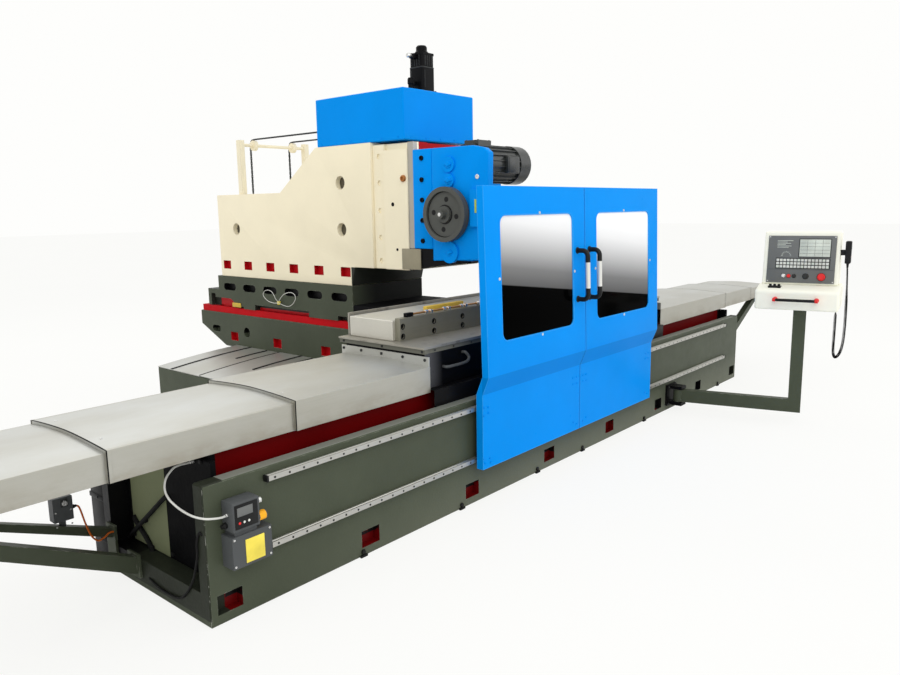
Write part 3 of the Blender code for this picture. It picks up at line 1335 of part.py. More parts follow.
def build_pendant(carrier, y, desk_z):
    """Hand-held pendant in its holder on the console's side, with its curly cord."""
    side = y - CABINET_HALF - SEAT
    x = PENDANT_X
    z0, z1 = PENDANT_Z
    middle = y - DESK_HALF - PENDANT_GAP - PENDANT_THICK / 2
    pendant = box("pendant", (x - PENDANT_WIDTH / 2, middle - PENDANT_THICK / 2, z0),
                  (x + PENDANT_WIDTH / 2, middle + PENDANT_THICK / 2, z1), BLACK, carrier)
    bevel(pendant, 0.008, 2)
    holder = bmesh.new()
    add_box(holder, (x - 0.01, middle, z0 + 0.06), (x + 0.03, side, z0 + 0.10))
    join(pendant, holder, "holder")
    start = Vector((x, middle, z0 - SEAT))
    route = [start + Vector(offset) for offset in CURL_OFFSETS]
    socket = Vector((route[-1].x, route[-1].y, desk_z - GLAND_LENGTH - 2 * SEAT))
    tube("pendant_cord", route + [socket], CURL_RADIUS, BLACK, carrier, 3, 2)
    cylinder("cord_gland", (socket.x, socket.y, socket.z + SEAT + GLAND_LENGTH / 2), "Z", GLAND_RADIUS,
             GLAND_LENGTH, BLACK, carrier, 16)


def build_pump():
    """Lubrication unit with its oil tank, bolted to the bed's front, and the hose to the ways."""
    face = back(-SEAT)
    front = back(-PUMP_DEPTH)
    pump = box("lubrication_pump", (PUMP_X[0], front, PUMP_Z[0]), (PUMP_X[1], face, PUMP_Z[1]), GREY)
    bevel(pump, 0.006, 2)
    tank = bmesh.new()
    add_box(tank, (TANK_X[0], front + 0.004, TANK_Z[0]), (TANK_X[1], face, TANK_Z[1]))
    join(pump, tank, "tank")
    neck = bmesh.new()
    add_box(neck, (PUMP_X[0] + 0.012, front + 0.012, TANK_Z[1] - 0.02),
            (PUMP_X[1] - 0.012, face, PUMP_Z[0] + 0.02))
    join(pump, neck, "neck")
    knob = bmesh.new()
    add_cylinder(knob, (PUMP_X[1] + 0.016, front + 0.02, PUMP_Z[0] + 0.03), "X", KNOB_RADIUS, 0.04, 16)
    join(pump, knob, "knob")
    tube("pump_hose", HOSE_POINTS, HOSE_RADIUS, WHITE, None, 3, 2)


def build_switch():
    """Limit switch on the left support's rear strut, with its cable to the strut's foot."""
    share, foot, height, width = STRUTS_LEFT[1]
    row = share * COVER_HALF
    x, y, z = SWITCH_SIZE
    low = strut_top(-1, COVER_LEFT[-1], foot, height, SWITCH_X) + SWITCH_RISE
    switch = box("limit_switch", (SWITCH_X - x / 2, row - y / 2, low),
                 (SWITCH_X + x / 2, row + y / 2, low + z), GREY)
    stem = SWITCH_STEM / 2
    ends = [SWITCH_X - stem, SWITCH_X + stem]
    outline = [(end, strut_top(-1, COVER_LEFT[-1], foot, height, end) + SEAT) for end in ends]
    outline += [(ends[1], low + stem), (ends[0], low + stem)]
    join(switch, outline_mesh(outline, "XZ", row - stem, row + stem), "stem")
    tube("switch_cable", SWITCH_CABLE_POINTS, SWITCH_CABLE_RADIUS, ORANGE, None, 3, 2)


def build_machine():
    build_bed()
    table = axis_empty("table_axis", (TABLE_X, 0, WAY_TOP))
    build_table(table)
    covers = {("left", 0): table, ("right", 0): table}
    covers[("left", 1)] = axis_empty("cover_left_2_axis", (COVER_LEFT[0], 0, COVER_BOTTOM))
    covers[("right", 1)] = axis_empty("cover_right_2_axis", (COVER_RIGHT[0], 0, COVER_BOTTOM))
    build_covers(covers)
    build_support("cover_support_left", -1, COVER_LEFT[-1], STRUTS_LEFT, len(COVER_LEFT) - 1)
    build_support("cover_support_right", 1, COVER_RIGHT[-1], STRUTS_RIGHT, len(COVER_RIGHT) - 1)
    build_switch()
    build_rear()
    build_cross_bed()
    saddle = axis_empty("saddle_axis", (0, back(SADDLE_FRONT), CROSS_WAY_TOP))
    build_saddle(saddle)
    build_apron((saddle, None))
    build_column(saddle)
    build_drive(saddle)
    build_chains(saddle)
    head = axis_empty("head_axis", (0, back(WAY_FRONT - WAY_THICK), HEAD_BOTTOM))
    build_head(head)
    build_wheel(axis_empty("flywheel_axis", (-COLUMN_HALF, back(WHEEL_Y), WHEEL_Z)))
    build_arbor(axis_empty("arbor_axis", (0, back(ARBOR_Y), ARBOR_Z)))
    left = axis_empty("door_left_axis", (DOOR_EDGES[0], back(DOOR_LOW_Y), RAIL_Z[0]))
    right = axis_empty("door_right_axis", (DOOR_EDGES[2], back(DOOR_LOW_Y), RAIL_Z[0]))
    build_doors(left, right)
    build_pump()
    build_console(axis_empty("console_axis", (PIVOT_X, back(PIVOT_Y), ARM_BOTTOM)))


build_machine()
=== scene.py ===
import math

import bmesh
import bpy
from mathutils import Matrix, Vector


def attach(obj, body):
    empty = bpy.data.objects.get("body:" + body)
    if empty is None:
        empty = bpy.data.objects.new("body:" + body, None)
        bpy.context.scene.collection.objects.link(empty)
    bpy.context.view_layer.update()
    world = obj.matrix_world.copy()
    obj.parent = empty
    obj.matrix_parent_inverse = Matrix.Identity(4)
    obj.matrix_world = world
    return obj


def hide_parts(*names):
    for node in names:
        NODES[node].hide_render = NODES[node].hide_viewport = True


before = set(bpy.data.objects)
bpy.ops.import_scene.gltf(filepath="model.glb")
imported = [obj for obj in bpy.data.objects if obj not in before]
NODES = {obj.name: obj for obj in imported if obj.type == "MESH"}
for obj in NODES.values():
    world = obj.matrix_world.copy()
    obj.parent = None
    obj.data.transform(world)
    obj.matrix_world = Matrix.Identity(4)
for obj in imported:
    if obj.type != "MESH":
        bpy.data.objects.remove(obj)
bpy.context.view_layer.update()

# Camera, from the photograph's perspective
CAMERA_PLACE = (-4.414, -3.037, 1.677)
CAMERA_YAW = 0.8634
CAMERA_PITCH = -0.1696
CAMERA_ROLL = -0.0154
SENSOR_WIDTH = 36.0
FOCAL_PIXELS = 758.8
PHOTO_WIDTH = 900

# Light
SKY_SOFT = 0.9
FLOOR_GLOW = 0.86
LAMPS = (("key", (-5.0, -5.0, 7.0), 6.0, 215.0), ("fill", (5.0, -6.0, 5.0), 6.0, 120.0),
         ("back", (0.0, 7.0, 7.0), 6.0, 110.0))

# Cord routes, the same points as in part.py
HOSE_RADIUS = 0.0045
HOSE_POINTS = ((-2.8075, -0.245, 0.65), (-2.835, -0.245, 0.65), (-2.875, -0.247, 0.652),
               (-2.905, -0.25, 0.645), (-2.94, -0.255, 0.615), (-2.954, -0.265, 0.575),
               (-2.958, -0.3, 0.545), (-2.952, -0.345, 0.522), (-2.945, -0.39, 0.508),
               (-2.935, -0.44, 0.499), (-2.905, -0.476, 0.489), (-2.85, -0.486, 0.478),
               (-2.8155, -0.486, 0.478))
SWITCH_CABLE_RADIUS = 0.004
SWITCH_CABLE_POINTS = ((-3.0718, 0.348, 0.385), (-3.056, 0.348, 0.385), (-3.044, 0.34, 0.372),
                       (-3.032, 0.324, 0.3), (-3.013, 0.32, 0.235), (-2.985, 0.322, 0.2),
                       (-2.955, 0.324, 0.203), (-2.93, 0.329, 0.215), (-2.9077, 0.329, 0.215))
PENDANT_START = (1.71, -1.649, 1.2247)
PENDANT_OFFSETS = ((0, 0, 0), (0, 0, -0.03), (0, -0.004, -0.12), (0, -0.008, -0.24), (-0.002, -0.01, -0.36),
                   (0, -0.01, -0.48), (0.004, -0.004, -0.6), (0.015, 0.014, -0.68), (0.04, 0.042, -0.715),
                   (0.07, 0.058, -0.69), (0.085, 0.062, -0.62), (0.088, 0.062, -0.52), (0.088, 0.062, -0.43))
PENDANT_SOCKET = (1.798, -1.587, 0.8537)
CURL_RADIUS = 0.0082
CURL_START_RADIUS = 0.0045
CURL_WIRE = 0.0026
CURL_PITCH = 0.0072
CURL_STEPS = 10
CURL_SLIM = 0.18
CURL_GROWTH = 0.1
CURL_FADE = 0.03

# Console, turned on its post as in part.py
CONSOLE_PIVOT = (1.635, -1.355, 0.0)
CONSOLE_TURN = 10.0
CONSOLE_Y = -1.335
CABINET_FOOT = (1.66, 1.0603)
CABINET_HEAD = (1.72, 1.458)
GRIP_X = 1.4347
GRIP_Z = 0.965
PENDANT_FRONT = -1.669
SCREEN_LINE = 0.0014
KEY_PITCH = 0.0245

# Doors: their leaning upper face as in part.py
DOOR_FOLD = (-0.567, 0.755)
DOOR_LEAN = 0.0309
DOOR_FACE_Y = -0.523
DOORS = {"left": (-1.204, -0.174), "right": (-0.164, 0.868)}
WINDOW_MARGIN = 0.138
WINDOW_Z = (0.935, 1.633)
WINDOW_CORNER = 0.05
# Height and tilt of the line in the windows' painted reflection
PANE_REFLECTION_LINE = 1.122
PANE_REFLECTION_TILT = 0.124
PULL_X = {"left": -0.262, "right": -0.116}
PULL_Z = (1.095, 1.4)
PULL_REACH = 0.075
PULL_BEND = 0.035
PULL_SLEEVE = 0.072
PULL_GRIP = 0.066
WINDOW_LIP = ((-0.004, 0.0075), (-0.004, -0.0005), (-0.002, -0.002), (0.003, -0.002), (0.004, 0.001),
              (0.004, 0.0075))

# Telescopic covers as in part.py
COVER_HALF = 0.35
COVER_BOTTOM = 0.69
COVER_SHOULDER = 0.83
COVER_CROWN = 0.847
COVER_STEP = 0.013
COVER_BOW = 1.6
COVER_SEAMS = (("left", -1, (-2.349, -3.205)), ("right", 1, (2.81, 3.54)))

# Stepped, arched cover over the rear base
REAR_SHOULDER = 0.377
REAR_BOW = 0.075
REAR_HALF = 1.2
REAR_INNER = 0.4053
REAR_OUTER = 1.199
REAR_FRONT = 0.4403
REAR_TREAD = 0.641
REAR_STEP = 0.004
REAR_SLOTS = ((0.405, 1.199, 2.79), (0.405, 0.9, 2.06), (0.42, 0.74, 2.53), (0.42, 0.7, 1.9))

# Bed front: the doors' rails and the levelling feet
BED_FRONT = -0.44
RAIL_FRONT = -0.468
RAIL_BOTTOMS = (0.253, 0.551)
RAIL_SCREWS = (-2.565, 2.53)
RAIL_SCREW_PITCH = 0.0775
RAIL_STOPS = (-2.607, 2.537)
LEVELLING_FEET = (-2.055, -1.3, -0.542, 0.013, 0.95, 1.75, 2.45)

# Table and fixture
JAW_FRONT = -0.07
JAW_BOLT_PITCH = 0.266
FIXTURE_ROD = (-0.05, 1.0745)
GUARD_FRONT = -0.3765
TABLE_HANDLE = ((-1.293, -0.313, 0.806), (-1.293, -0.338, 0.806), (-1.25, -0.348, 0.806),
                (-1.135, -0.35, 0.81), (-1.108, -0.35, 0.832), (-1.125, -0.34, 0.862),
                (-1.125, -0.313, 0.862))

# Lift servo: half width, corner, bottom, top and material of each stage
SERVO_PLACE = (0.05, 1.02)
SERVO_STAGES = ((0.0825, 0.012, 2.5203, 2.5503, 0), (0.07, 0.02, 2.549, 2.718, 0),
                (0.0712, 0.021, 2.717, 2.725, 1), (0.067, 0.02, 2.724, 2.812, 0),
                (0.0712, 0.021, 2.811, 2.826, 0))

# Chains, in Y and Z
CHAIN_PITCH = 0.02
CHAIN_X = 0.215
CHAIN_START = (1.7503, 2.3033)
CHAIN_WHEEL = (2.83, 2.25, 0.0533)
CHAIN_END = 1.8203
LINK_HALF = 0.0062
LINK_PLATE = 0.0014

# Flywheel and spindle motor
WHEEL_Y = 0.375
WHEEL_Z = 1.631
WHEEL_HOLE_TURN = 8.0
MOTOR_AXIS = (0.26, 1.968)

DOOR_SCREWS = {
    "left": ((-1.193, 0.578), (-1.153, 0.575), (-1.193, 0.532), (-1.153, 0.541), (-1.196, 0.284),
             (-1.141, 0.275), (-1.188, 0.258), (-1.136, 0.25), (-0.255, 0.577), (-0.21, 0.576),
             (-0.254, 0.537), (-0.209, 0.535), (-0.245, 0.28), (-0.205, 0.26)),
    "right": ((-0.091, 0.574), (-0.131, 0.574), (-0.09, 0.533), (-0.13, 0.535), (-0.082, 0.278),
              (-0.125, 0.262), (0.775, 0.577), (0.82, 0.577), (0.775, 0.537), (0.82, 0.537),
              (0.775, 0.28), (0.82, 0.262)),
}
PANE_CLIPS = {
    "left": ((-1.08, 1.287), (-0.676, 1.64), (-0.298, 1.273), (-0.67, 0.926)),
    "right": ((0.744, 1.278), (0.349, 1.64), (-0.04, 1.273), (0.349, 0.926)),
}
PANE_CLIP_AXIS = (0, -1, 0.03)
COLUMN_MARKS = ((0.805, 1.887, 0.024, 0.018, 0), (0.919, 1.706, 0.014, 0.004, 1),
                (0.884, 1.379, 0.01, 0.004, 1))
SADDLE_LOOPS = (
    ((-0.416, 2.336, 0.884), (-0.43, 2.378, 0.884), (-0.44, 2.438, 0.897), (-0.446, 2.484, 0.928),
     (-0.447, 2.496, 0.958), (-0.447, 2.47, 0.985), (-0.447, 2.422, 0.995), (-0.446, 2.376, 0.984),
     (-0.443, 2.35, 0.955), (-0.436, 2.339, 0.924), (-0.416, 2.334, 0.898)),
    ((-0.416, 2.322, 0.896), (-0.432, 2.292, 0.914), (-0.441, 2.252, 0.943), (-0.446, 2.205, 0.971),
     (-0.447, 2.15, 0.988), (-0.447, 2.095, 0.991), (-0.447, 2.058, 0.974), (-0.447, 2.052, 0.943),
     (-0.446, 2.078, 0.908), (-0.445, 2.12, 0.881), (-0.442, 2.165, 0.87), (-0.438, 2.215, 0.872),
     (-0.43, 2.265, 0.879), (-0.416, 2.32, 0.884)),
)
BED_LINES = (
    (((-2.805, 0.365, 0.15), (-2.82, 0.355, 0.155), (-2.826, 0.25, 0.235), (-2.826, 0.12, 0.335),
      (-2.82, 0.01, 0.425), (-2.805, -0.01, 0.44)), 0.011),
    (((-2.805, 0.31, 0.262), (-2.815, 0.295, 0.251), (-2.817, 0.191, 0.181), (-2.817, 0.112, 0.106),
      (-2.815, 0.01, 0.078), (-2.805, -0.01, 0.08)), 0.011),
    (((-2.8935, -0.42, 0.4), (-2.899, -0.405, 0.409), (-2.9005, -0.385, 0.36), (-2.9005, -0.379, 0.295),
      (-2.9005, -0.325, 0.169), (-2.9005, -0.224, 0.068), (-2.9005, -0.08, 0.053), (-2.898, 0.02, 0.066),
      (-2.8935, 0.045, 0.07)), 0.005),
)
BED_CLIPS = ((-2.82, 0.2, 0.274), (-2.82, 0.16, 0.152))
CONSOLE_KNOBS = ((-0.115, 0.065, 0.012, 0.016, 6), (-0.077, 0.065, 0.011, 0.014, 5),
                 (-0.04, 0.065, 0.011, 0.014, 1), (0.04, 0.065, 0.016, 0.018, 1),
                 (0.147, 0.062, 0.022, 0.03, 5))
ROUNDED = {"console_desk": 0.01, "console_cabinet": 0.008, "pendant": 0.004, "drive_cover": 0.003,
           "limit_switch": 0.003}

SMOOTH_ANGLE = math.radians(32)
UP = (0, 0, 1)
FRONT = (0, -1, 0)
LEFT = (-1, 0, 0)
RIGHT = (1, 0, 0)


def link(item):
    bpy.context.scene.collection.objects.link(item)
    return item


def add_camera():
    yaw, pitch, roll = CAMERA_YAW, CAMERA_PITCH, CAMERA_ROLL
    forward = Vector((math.sin(yaw) * math.cos(pitch), math.cos(yaw) * math.cos(pitch), math.sin(pitch)))
    level = Vector((math.cos(yaw), -math.sin(yaw), 0))
    upright = level.cross(forward)
    right = math.cos(roll) * level + math.sin(roll) * upright
    up = math.cos(roll) * upright - math.sin(roll) * level
    turn = Matrix((right, up, -forward)).transposed()
    data = bpy.data.cameras.new("camera")
    data.sensor_width = SENSOR_WIDTH
    data.lens = FOCAL_PIXELS / PHOTO_WIDTH * SENSOR_WIDTH
    data.clip_end = 100
    camera = link(bpy.data.objects.new("camera", data))
    camera.matrix_world = Matrix.Translation(CAMERA_PLACE) @ turn.to_4x4()
    bpy.context.scene.camera = camera


def add_node(tree, kind, inputs=None, **settings):
    """New shader node; its inputs, by name or number, take a value or another node's output."""
    made = tree.nodes.new("ShaderNode" + kind)
    for key, value in settings.items():
        setattr(made, key, value)
    for key, value in (inputs or {}).items():
        if isinstance(value, bpy.types.NodeSocket):
            tree.links.new(value, made.inputs[key])
        else:
            made.inputs[key].default_value = value
    return made


class Recipe:
    """A material's node tree with short calls for the nodes that the finishes share."""

    def __init__(self, name, roughness=0.5, metallic=0.0, specular=0.3):
        self.material = bpy.data.materials.new(name)
        self.material.use_nodes = True
        self.tree = self.material.node_tree
        self.shader = self.tree.nodes["Principled BSDF"]
        values = {"Roughness": roughness, "Metallic": metallic, "Specular IOR Level": specular}
        for key, value in values.items():
            self.shader.inputs[key].default_value = value
        self.tone = None
        self.place = self.node("TexCoord").outputs["Object"]
        self.axes = None

    def node(self, kind, inputs=None, **settings):
        return add_node(self.tree, kind, inputs, **settings)

    def drive(self, name, source):
        self.tree.links.new(source, self.shader.inputs[name])

    def noise(self, scale, detail=4.0, stretch=(1, 1, 1), roughness=0.55):
        vector = self.node("Mapping", {"Scale": stretch, "Vector": self.place}).outputs["Vector"]
        inputs = {"Scale": scale, "Detail": detail, "Roughness": roughness, "Vector": vector}
        return self.node("TexNoise", inputs).outputs["Fac"]

    def ramp(self, value, stops):
        made = self.node("ValToRGB", {"Fac": value})
        elements = made.color_ramp.elements
        while len(elements) < len(stops):
            elements.new(0.5)
        for element, (position, colour) in zip(elements, stops):
            element.position = position
            element.color = (*colour, 1.0)
        return made.outputs["Color"]

    def span(self, value, low, high, start=0.0, end=1.0):
        """The value's start to end spread over low to high."""
        inputs = {"Value": value, "From Min": start, "From Max": end, "To Min": low, "To Max": high}
        return self.node("MapRange", inputs).outputs["Result"]

    def mix(self, factor, first, second):
        """Blend of two colours, through the Mix node's numbered colour sockets."""
        pair = [(*colour, 1.0) if isinstance(colour, tuple) else colour for colour in (first, second)]
        return self.node("Mix", {0: factor, 6: pair[0], 7: pair[1]}, data_type="RGBA").outputs[2]

    def math(self, operation, *values):
        return self.node("Math", dict(enumerate(values)), operation=operation).outputs["Value"]

    def axis(self, name):
        """One coordinate of the machine's frame: x, y or z, or its size alone as ax, ay or az."""
        if self.axes is None:
            self.axes = self.node("SeparateXYZ", {"Vector": self.place}).outputs
        value = self.axes[name[-1].upper()]
        return self.math("ABSOLUTE", value) if len(name) == 2 else value

    def zone(self, **spans):
        """Mask of the block between two numbers on each named axis."""
        mask = None
        for key, (low, high) in spans.items():
            part = self.math("COMPARE", self.axis(key), (low + high) / 2, (high - low) / 2)
            mask = part if mask is None else self.math("MULTIPLY", mask, part)
        return mask

    def tones(self, value, colour, dark, light, start=0.3, end=0.7):
        """The colour times dark to light, over the value's start to end."""
        return self.ramp(value, ((start, shade(colour, dark)), (end, shade(colour, light))))

    def spots(self, value, start, end, peak=1.0, floor=0.0):
        """Mask that rises from floor to peak over the value's start to end."""
        return self.ramp(value, ((start, (floor, floor, floor)), (end, (peak, peak, peak))))

    def overlay(self, mask, colour):
        self.tone = self.mix(mask, self.tone, colour)

    def patch(self, colour, share=None, **spans):
        """Colour over a zone of the machine, whole or at a share."""
        mask = self.zone(**spans)
        self.overlay(mask if share is None else self.math("MULTIPLY", mask, share), colour)

    def rounded(self, radius):
        return self.node("Bevel", {"Radius": radius}, samples=4).outputs["Normal"]

    def edges(self, radius, low=0.02, high=0.2):
        """Mask of the edges: where the rounded normal leaves the true one."""
        normal = self.node("NewGeometry").outputs["Normal"]
        dot = self.node("VectorMath", {0: self.rounded(radius), 1: normal}, operation="DOT_PRODUCT")
        return self.span(dot.outputs["Value"], 0.0, 1.0, 1.0 - low, 1.0 - high)

    def bump(self, height, distance, strength=1.0, edge=0.0):
        inputs = {"Distance": distance, "Strength": strength, "Height": height}
        if edge:
            inputs["Normal"] = self.rounded(edge)
        self.drive("Normal", self.node("Bump", inputs).outputs["Normal"])

    def done(self):
        self.drive("Base Color", self.tone)
        return self.material


# Red paint darkened as painted shade, for the red under the covers and in the bed's pockets
SHADED_RED = (0.13, 0.0015, 0.002)
BLUE_COLOUR = (0.0, 0.275, 0.84)
BRIGHT_RED = (0.5, 0.005, 0.01)
CREAM_COLOUR = (0.9, 0.82, 0.61)
BLACK_COLOUR = (0.004, 0.004, 0.0045)

# Stretch of the noise that makes a metal's fine lines
FINE_LINES = (2.0, 120.0, 120.0)
SHEET_LINES = (2.0, 90.0, 90.0)
UPRIGHT_LINES = (90.0, 90.0, 3.0)

# Where the finishes change on the bed and on the cross slide's sides
BED_POCKET_DEPTH = (0.39, 0.4385)
SLIDE_SIDE = 0.4035


def shade(colour, factor):
    return tuple(channel * factor for channel in colour)


def enamel(name, colour, gloss=0.4, texture=0.0006, grain=90.0, wear=None, specular=0.15, edge=0.003,
           mottle=0.1):
    """Machine enamel: faint mottling, filler texture, rounded and rubbed edges."""
    made = Recipe(name, gloss, specular=specular)
    made.tone = made.tones(made.noise(3.0, 5.0), colour, 1.0 - mottle, 1.0 + mottle)
    if wear:
        worn = made.spots(made.noise(22.0, 6.0), 0.48, 0.62)
        made.overlay(made.math("MULTIPLY", made.edges(0.006), worn), wear)
    made.drive("Roughness", made.span(made.noise(14.0, 3.0), gloss - 0.08, gloss + 0.12))
    made.bump(made.noise(grain, 3.0), texture, edge=edge)
    return made


def brushed(name, colour, gloss=0.36, along=FINE_LINES, metallic=0.8, smear=0.1, stain=None):
    """Sheet or ground metal with fine lines along one direction, soft smears and a few stains."""
    made = Recipe(name, gloss, metallic)
    lines = made.noise(3.0, 6.0, along)
    dark = made.tones(lines, colour, 0.84, 1.06)
    light = made.tones(made.noise(2.2, 4.0), colour, 1.0 - smear, 1.0 + smear, 0.35, 0.65)
    made.tone = made.mix(0.5, dark, light)
    if stain:
        made.overlay(made.spots(made.noise(9.0, 6.0, roughness=0.7), 0.56, 0.72, 0.7), stain)
    made.drive("Roughness", made.span(lines, gloss - 0.06, gloss + 0.14))
    made.bump(lines, 0.0002, 0.5, edge=0.002)
    return made


def plastic(name, colour, gloss=0.45, grain=600.0):
    made = Recipe(name, gloss, specular=0.2)
    made.tone = made.tones(made.noise(8.0, 3.0), colour, 0.85, 1.15)
    made.drive("Roughness", made.span(made.noise(20.0, 3.0), gloss - 0.06, gloss + 0.1))
    made.bump(made.noise(grain, 2.0), 0.0002, 0.6, edge=0.001)
    return made


def casting(name):
    return enamel(name, (0.062, 0.073, 0.047), 0.42, 0.0008, 70.0, wear=(0.3, 0.31, 0.26))


def bed_finish():
    """Casting paint with a painted sheen low on the sides, red pockets darkened as painted shade, black
    pockets further right, painted shadow in the pockets, a painted highlight on the top, painted shade on the
    ends and a chipped corner.
    """
    made = casting("bed_casting_paint")
    # Painted sheen: paler paint low on the sides, growing towards the right
    low = made.span(made.axis("Z"), 0.42, 0.0, 0.0, 0.26)
    right = made.span(made.axis("X"), 0.0, 1.0, -2.6, -0.6)
    made.patch((0.26, 0.27, 0.21), made.math("MULTIPLY", low, right), ay=(0.436, 0.4405))
    # Red paint in the pockets, darkened as painted shade; the pockets further right are black
    made.patch(SHADED_RED, ay=BED_POCKET_DEPTH, z=(0.01, 0.145), x=(-2.88, 1.2))
    made.patch(BLACK_COLOUR, ay=BED_POCKET_DEPTH, z=(0.01, 0.145), x=(1.2, 2.88))
    # Painted highlight: paler grey on the top face
    made.patch((0.19, 0.2, 0.17), z=(0.6085, 0.62))
    shadow = made.spots(made.noise(16.0, 3.0), 0.44, 0.5)
    made.patch(BLACK_COLOUR, shadow, ay=BED_POCKET_DEPTH, z=(0.085, 0.145), ax=(-0.1, 2.88))
    # Painted shade on the bed's ends: black and near-black where their hollows lie in shadow
    made.patch(BLACK_COLOUR, ax=(2.8, 2.9), y=(0.18, 0.45), z=(0.05, 0.7))
    made.patch((0.022, 0.026, 0.017), ax=(2.8, 2.9), y=(-0.439, 0.18), z=(0.03, 0.7))
    chips = made.spots(made.noise(30.0, 6.0), 0.5, 0.56)
    made.patch((0.62, 0.62, 0.56), chips, x=(-2.897, -2.892), y=(-0.4405, -0.4365))
    return made.done()


def inner_bed_finish():
    """Red darkened as painted shade, with black end panels deepened as painted shade, and a green-grey field
    on them.
    """
    made = enamel("inner_bed_shaded_paint", SHADED_RED, 0.45, 0.001, 60.0, specular=0.03)
    # Black ends: black paint, deepened as painted shade of the hollow ends
    made.patch(BLACK_COLOUR, ax=(2.74, 2.9))
    made.patch((0.19, 0.21, 0.12), ax=(2.8, 2.9), y=(0.01, 0.33), z=(0.12, 0.61))
    return made.done()


def cross_bed_finish():
    """Casting paint, with red pockets and painted shade in the holes in the sides."""
    made = casting("cross_bed_paint")
    for y in (1.74, 2.388, 3.035):
        made.patch(BRIGHT_RED, ax=(0.35, SLIDE_SIDE), y=(y - 0.06, y + 0.06), z=(0.48, 0.567))
    # Painted shade: near-black inside the round hole and the long slot
    made.patch((0.006, 0.007, 0.006), ax=(0.35, SLIDE_SIDE), y=(2.78, 3.41), z=(0.568, 0.64))
    return made.done()


def saddle_finish():
    """Casting paint, with painted shade in the slots and the recess, red ways that show below and a painted
    shadow on the front.
    """
    made = casting("saddle_paint")
    # Painted shade: black in the slots and darker casting in the recess below them
    made.patch(BLACK_COLOUR, ax=(0.34, SLIDE_SIDE), y=(1.395, 3.44), z=(0.945, 1.025))
    made.patch((0.03, 0.033, 0.026), ax=(0.34, SLIDE_SIDE), y=(1.395, 3.44), z=(0.7, 0.93))
    made.patch(BRIGHT_RED, ax=(0.34, SLIDE_SIDE), y=(3.06, 3.29), z=(0.79, 0.875))
    made.patch(BRIGHT_RED, ax=(0.3, SLIDE_SIDE), y=(1.98, 2.68), z=(0.7, 0.815))
    # Painted shadow on the front, growing towards the right
    made.patch((0.008, 0.009, 0.008), made.span(made.axis("X"), 0.1, 1.0, -0.405, -0.15), y=(1.38, 1.3915))
    return made.done()


def column_finish():
    """Cream, with red pockets, painted shade on the foot's front and painted shade in the round holes."""
    made = enamel("column_paint", CREAM_COLOUR, 0.42, 0.0006, 55.0, wear=(0.6, 0.54, 0.42), mottle=0.025)
    made.patch(BRIGHT_RED, ax=(0.36, SLIDE_SIDE), z=(1.15, 1.23), y=(1.4, 3.16))
    # Painted shade on the front of the foot, under the column's overhang
    made.patch((0.03, 0.033, 0.027), y=(1.13, 1.3925), z=(1.0, 1.2305))
    # Painted shade at the bottoms of the round holes
    made.patch((0.14, 0.125, 0.09), ax=(0.34, 0.362), z=(1.4, 1.95))
    return made.done()


def door_finish():
    """Blue, with painted shade in a band below the fold and a painted highlight along the edges."""
    made = enamel("door_blue", BLUE_COLOUR, 0.3, 0.0002, 260.0, specular=0.03, mottle=0.03)
    # Painted shade: a darker blue band just below the fold
    made.patch((0.0, 0.13, 0.45), 0.42, z=(0.652, 0.753), y=(-0.57, -0.52))
    # Painted highlight: paler blue along the edges
    made.overlay(made.math("MULTIPLY", made.edges(0.007, 0.01, 0.12), 0.55), (0.1, 0.5, 0.97))
    return made.done()


def ways_finish():
    """Ground column ways, with the red field between them, cream edges and painted shade on the lower end."""
    made = brushed("way_steel", (0.42, 0.4, 0.36), 0.34, (160.0, 160.0, 2.0))
    made.patch((0.34, 0.003, 0.006), ax=(-0.1, 0.336), z=(1.5, 2.2))
    made.patch(CREAM_COLOUR, ax=(0.336, 0.352), z=(1.5, 2.2))
    # Painted shade: the lower end, below the head, near-black
    made.patch((0.012, 0.012, 0.012), z=(1.2, 1.39))
    return made.done()


def table_finish():
    """Black, with a painted sheen at the front's left end and a rubbed top edge."""
    made = enamel("table_paint", BLACK_COLOUR, 0.3, 0.0003, 120.0, specular=0.05)
    # Painted sheen: pale grey fading out along the front's left end
    made.patch((0.9, 0.9, 0.95), made.span(made.axis("X"), 0.11, 0.0, -1.44, -1.3), y=(-0.33, -0.31))
    made.patch((0.15, 0.15, 0.125), z=(0.8962, 0.93))
    return made.done()


def cover_steel():
    """Way cover sheet: fine lines, wide smears, painted shade on the front faces, and mottling that darkens
    low on the sides.
    """
    made = brushed("cover_stainless", (0.475, 0.47, 0.425), 0.38, SHEET_LINES, 0.7, 0.06)
    smears = made.spots(made.noise(1.3, 5.0, (1.0, 2.2, 2.2), 0.6), 0.42, 0.68, 0.55)
    made.overlay(smears, (0.56, 0.575, 0.565))
    lower_darkening = made.spots(made.noise(5.0, 6.0, (1.0, 1.0, 2.5), 0.65), 0.4, 0.66, floor=0.1)
    # Painted shade: the front faces darker and warmer than the tops
    made.patch((0.36, 0.34, 0.27), 0.4, ay=(0.32, 0.352), z=(0.68, 0.829))
    # Darker, browner mottling towards the bottom of the sides
    low = made.span(made.axis("Z"), 0.75, 0.0, 0.69, 0.79)
    made.patch((0.3, 0.27, 0.21), made.math("MULTIPLY", low, lower_darkening), z=(0.68, 0.79))
    return made.done()


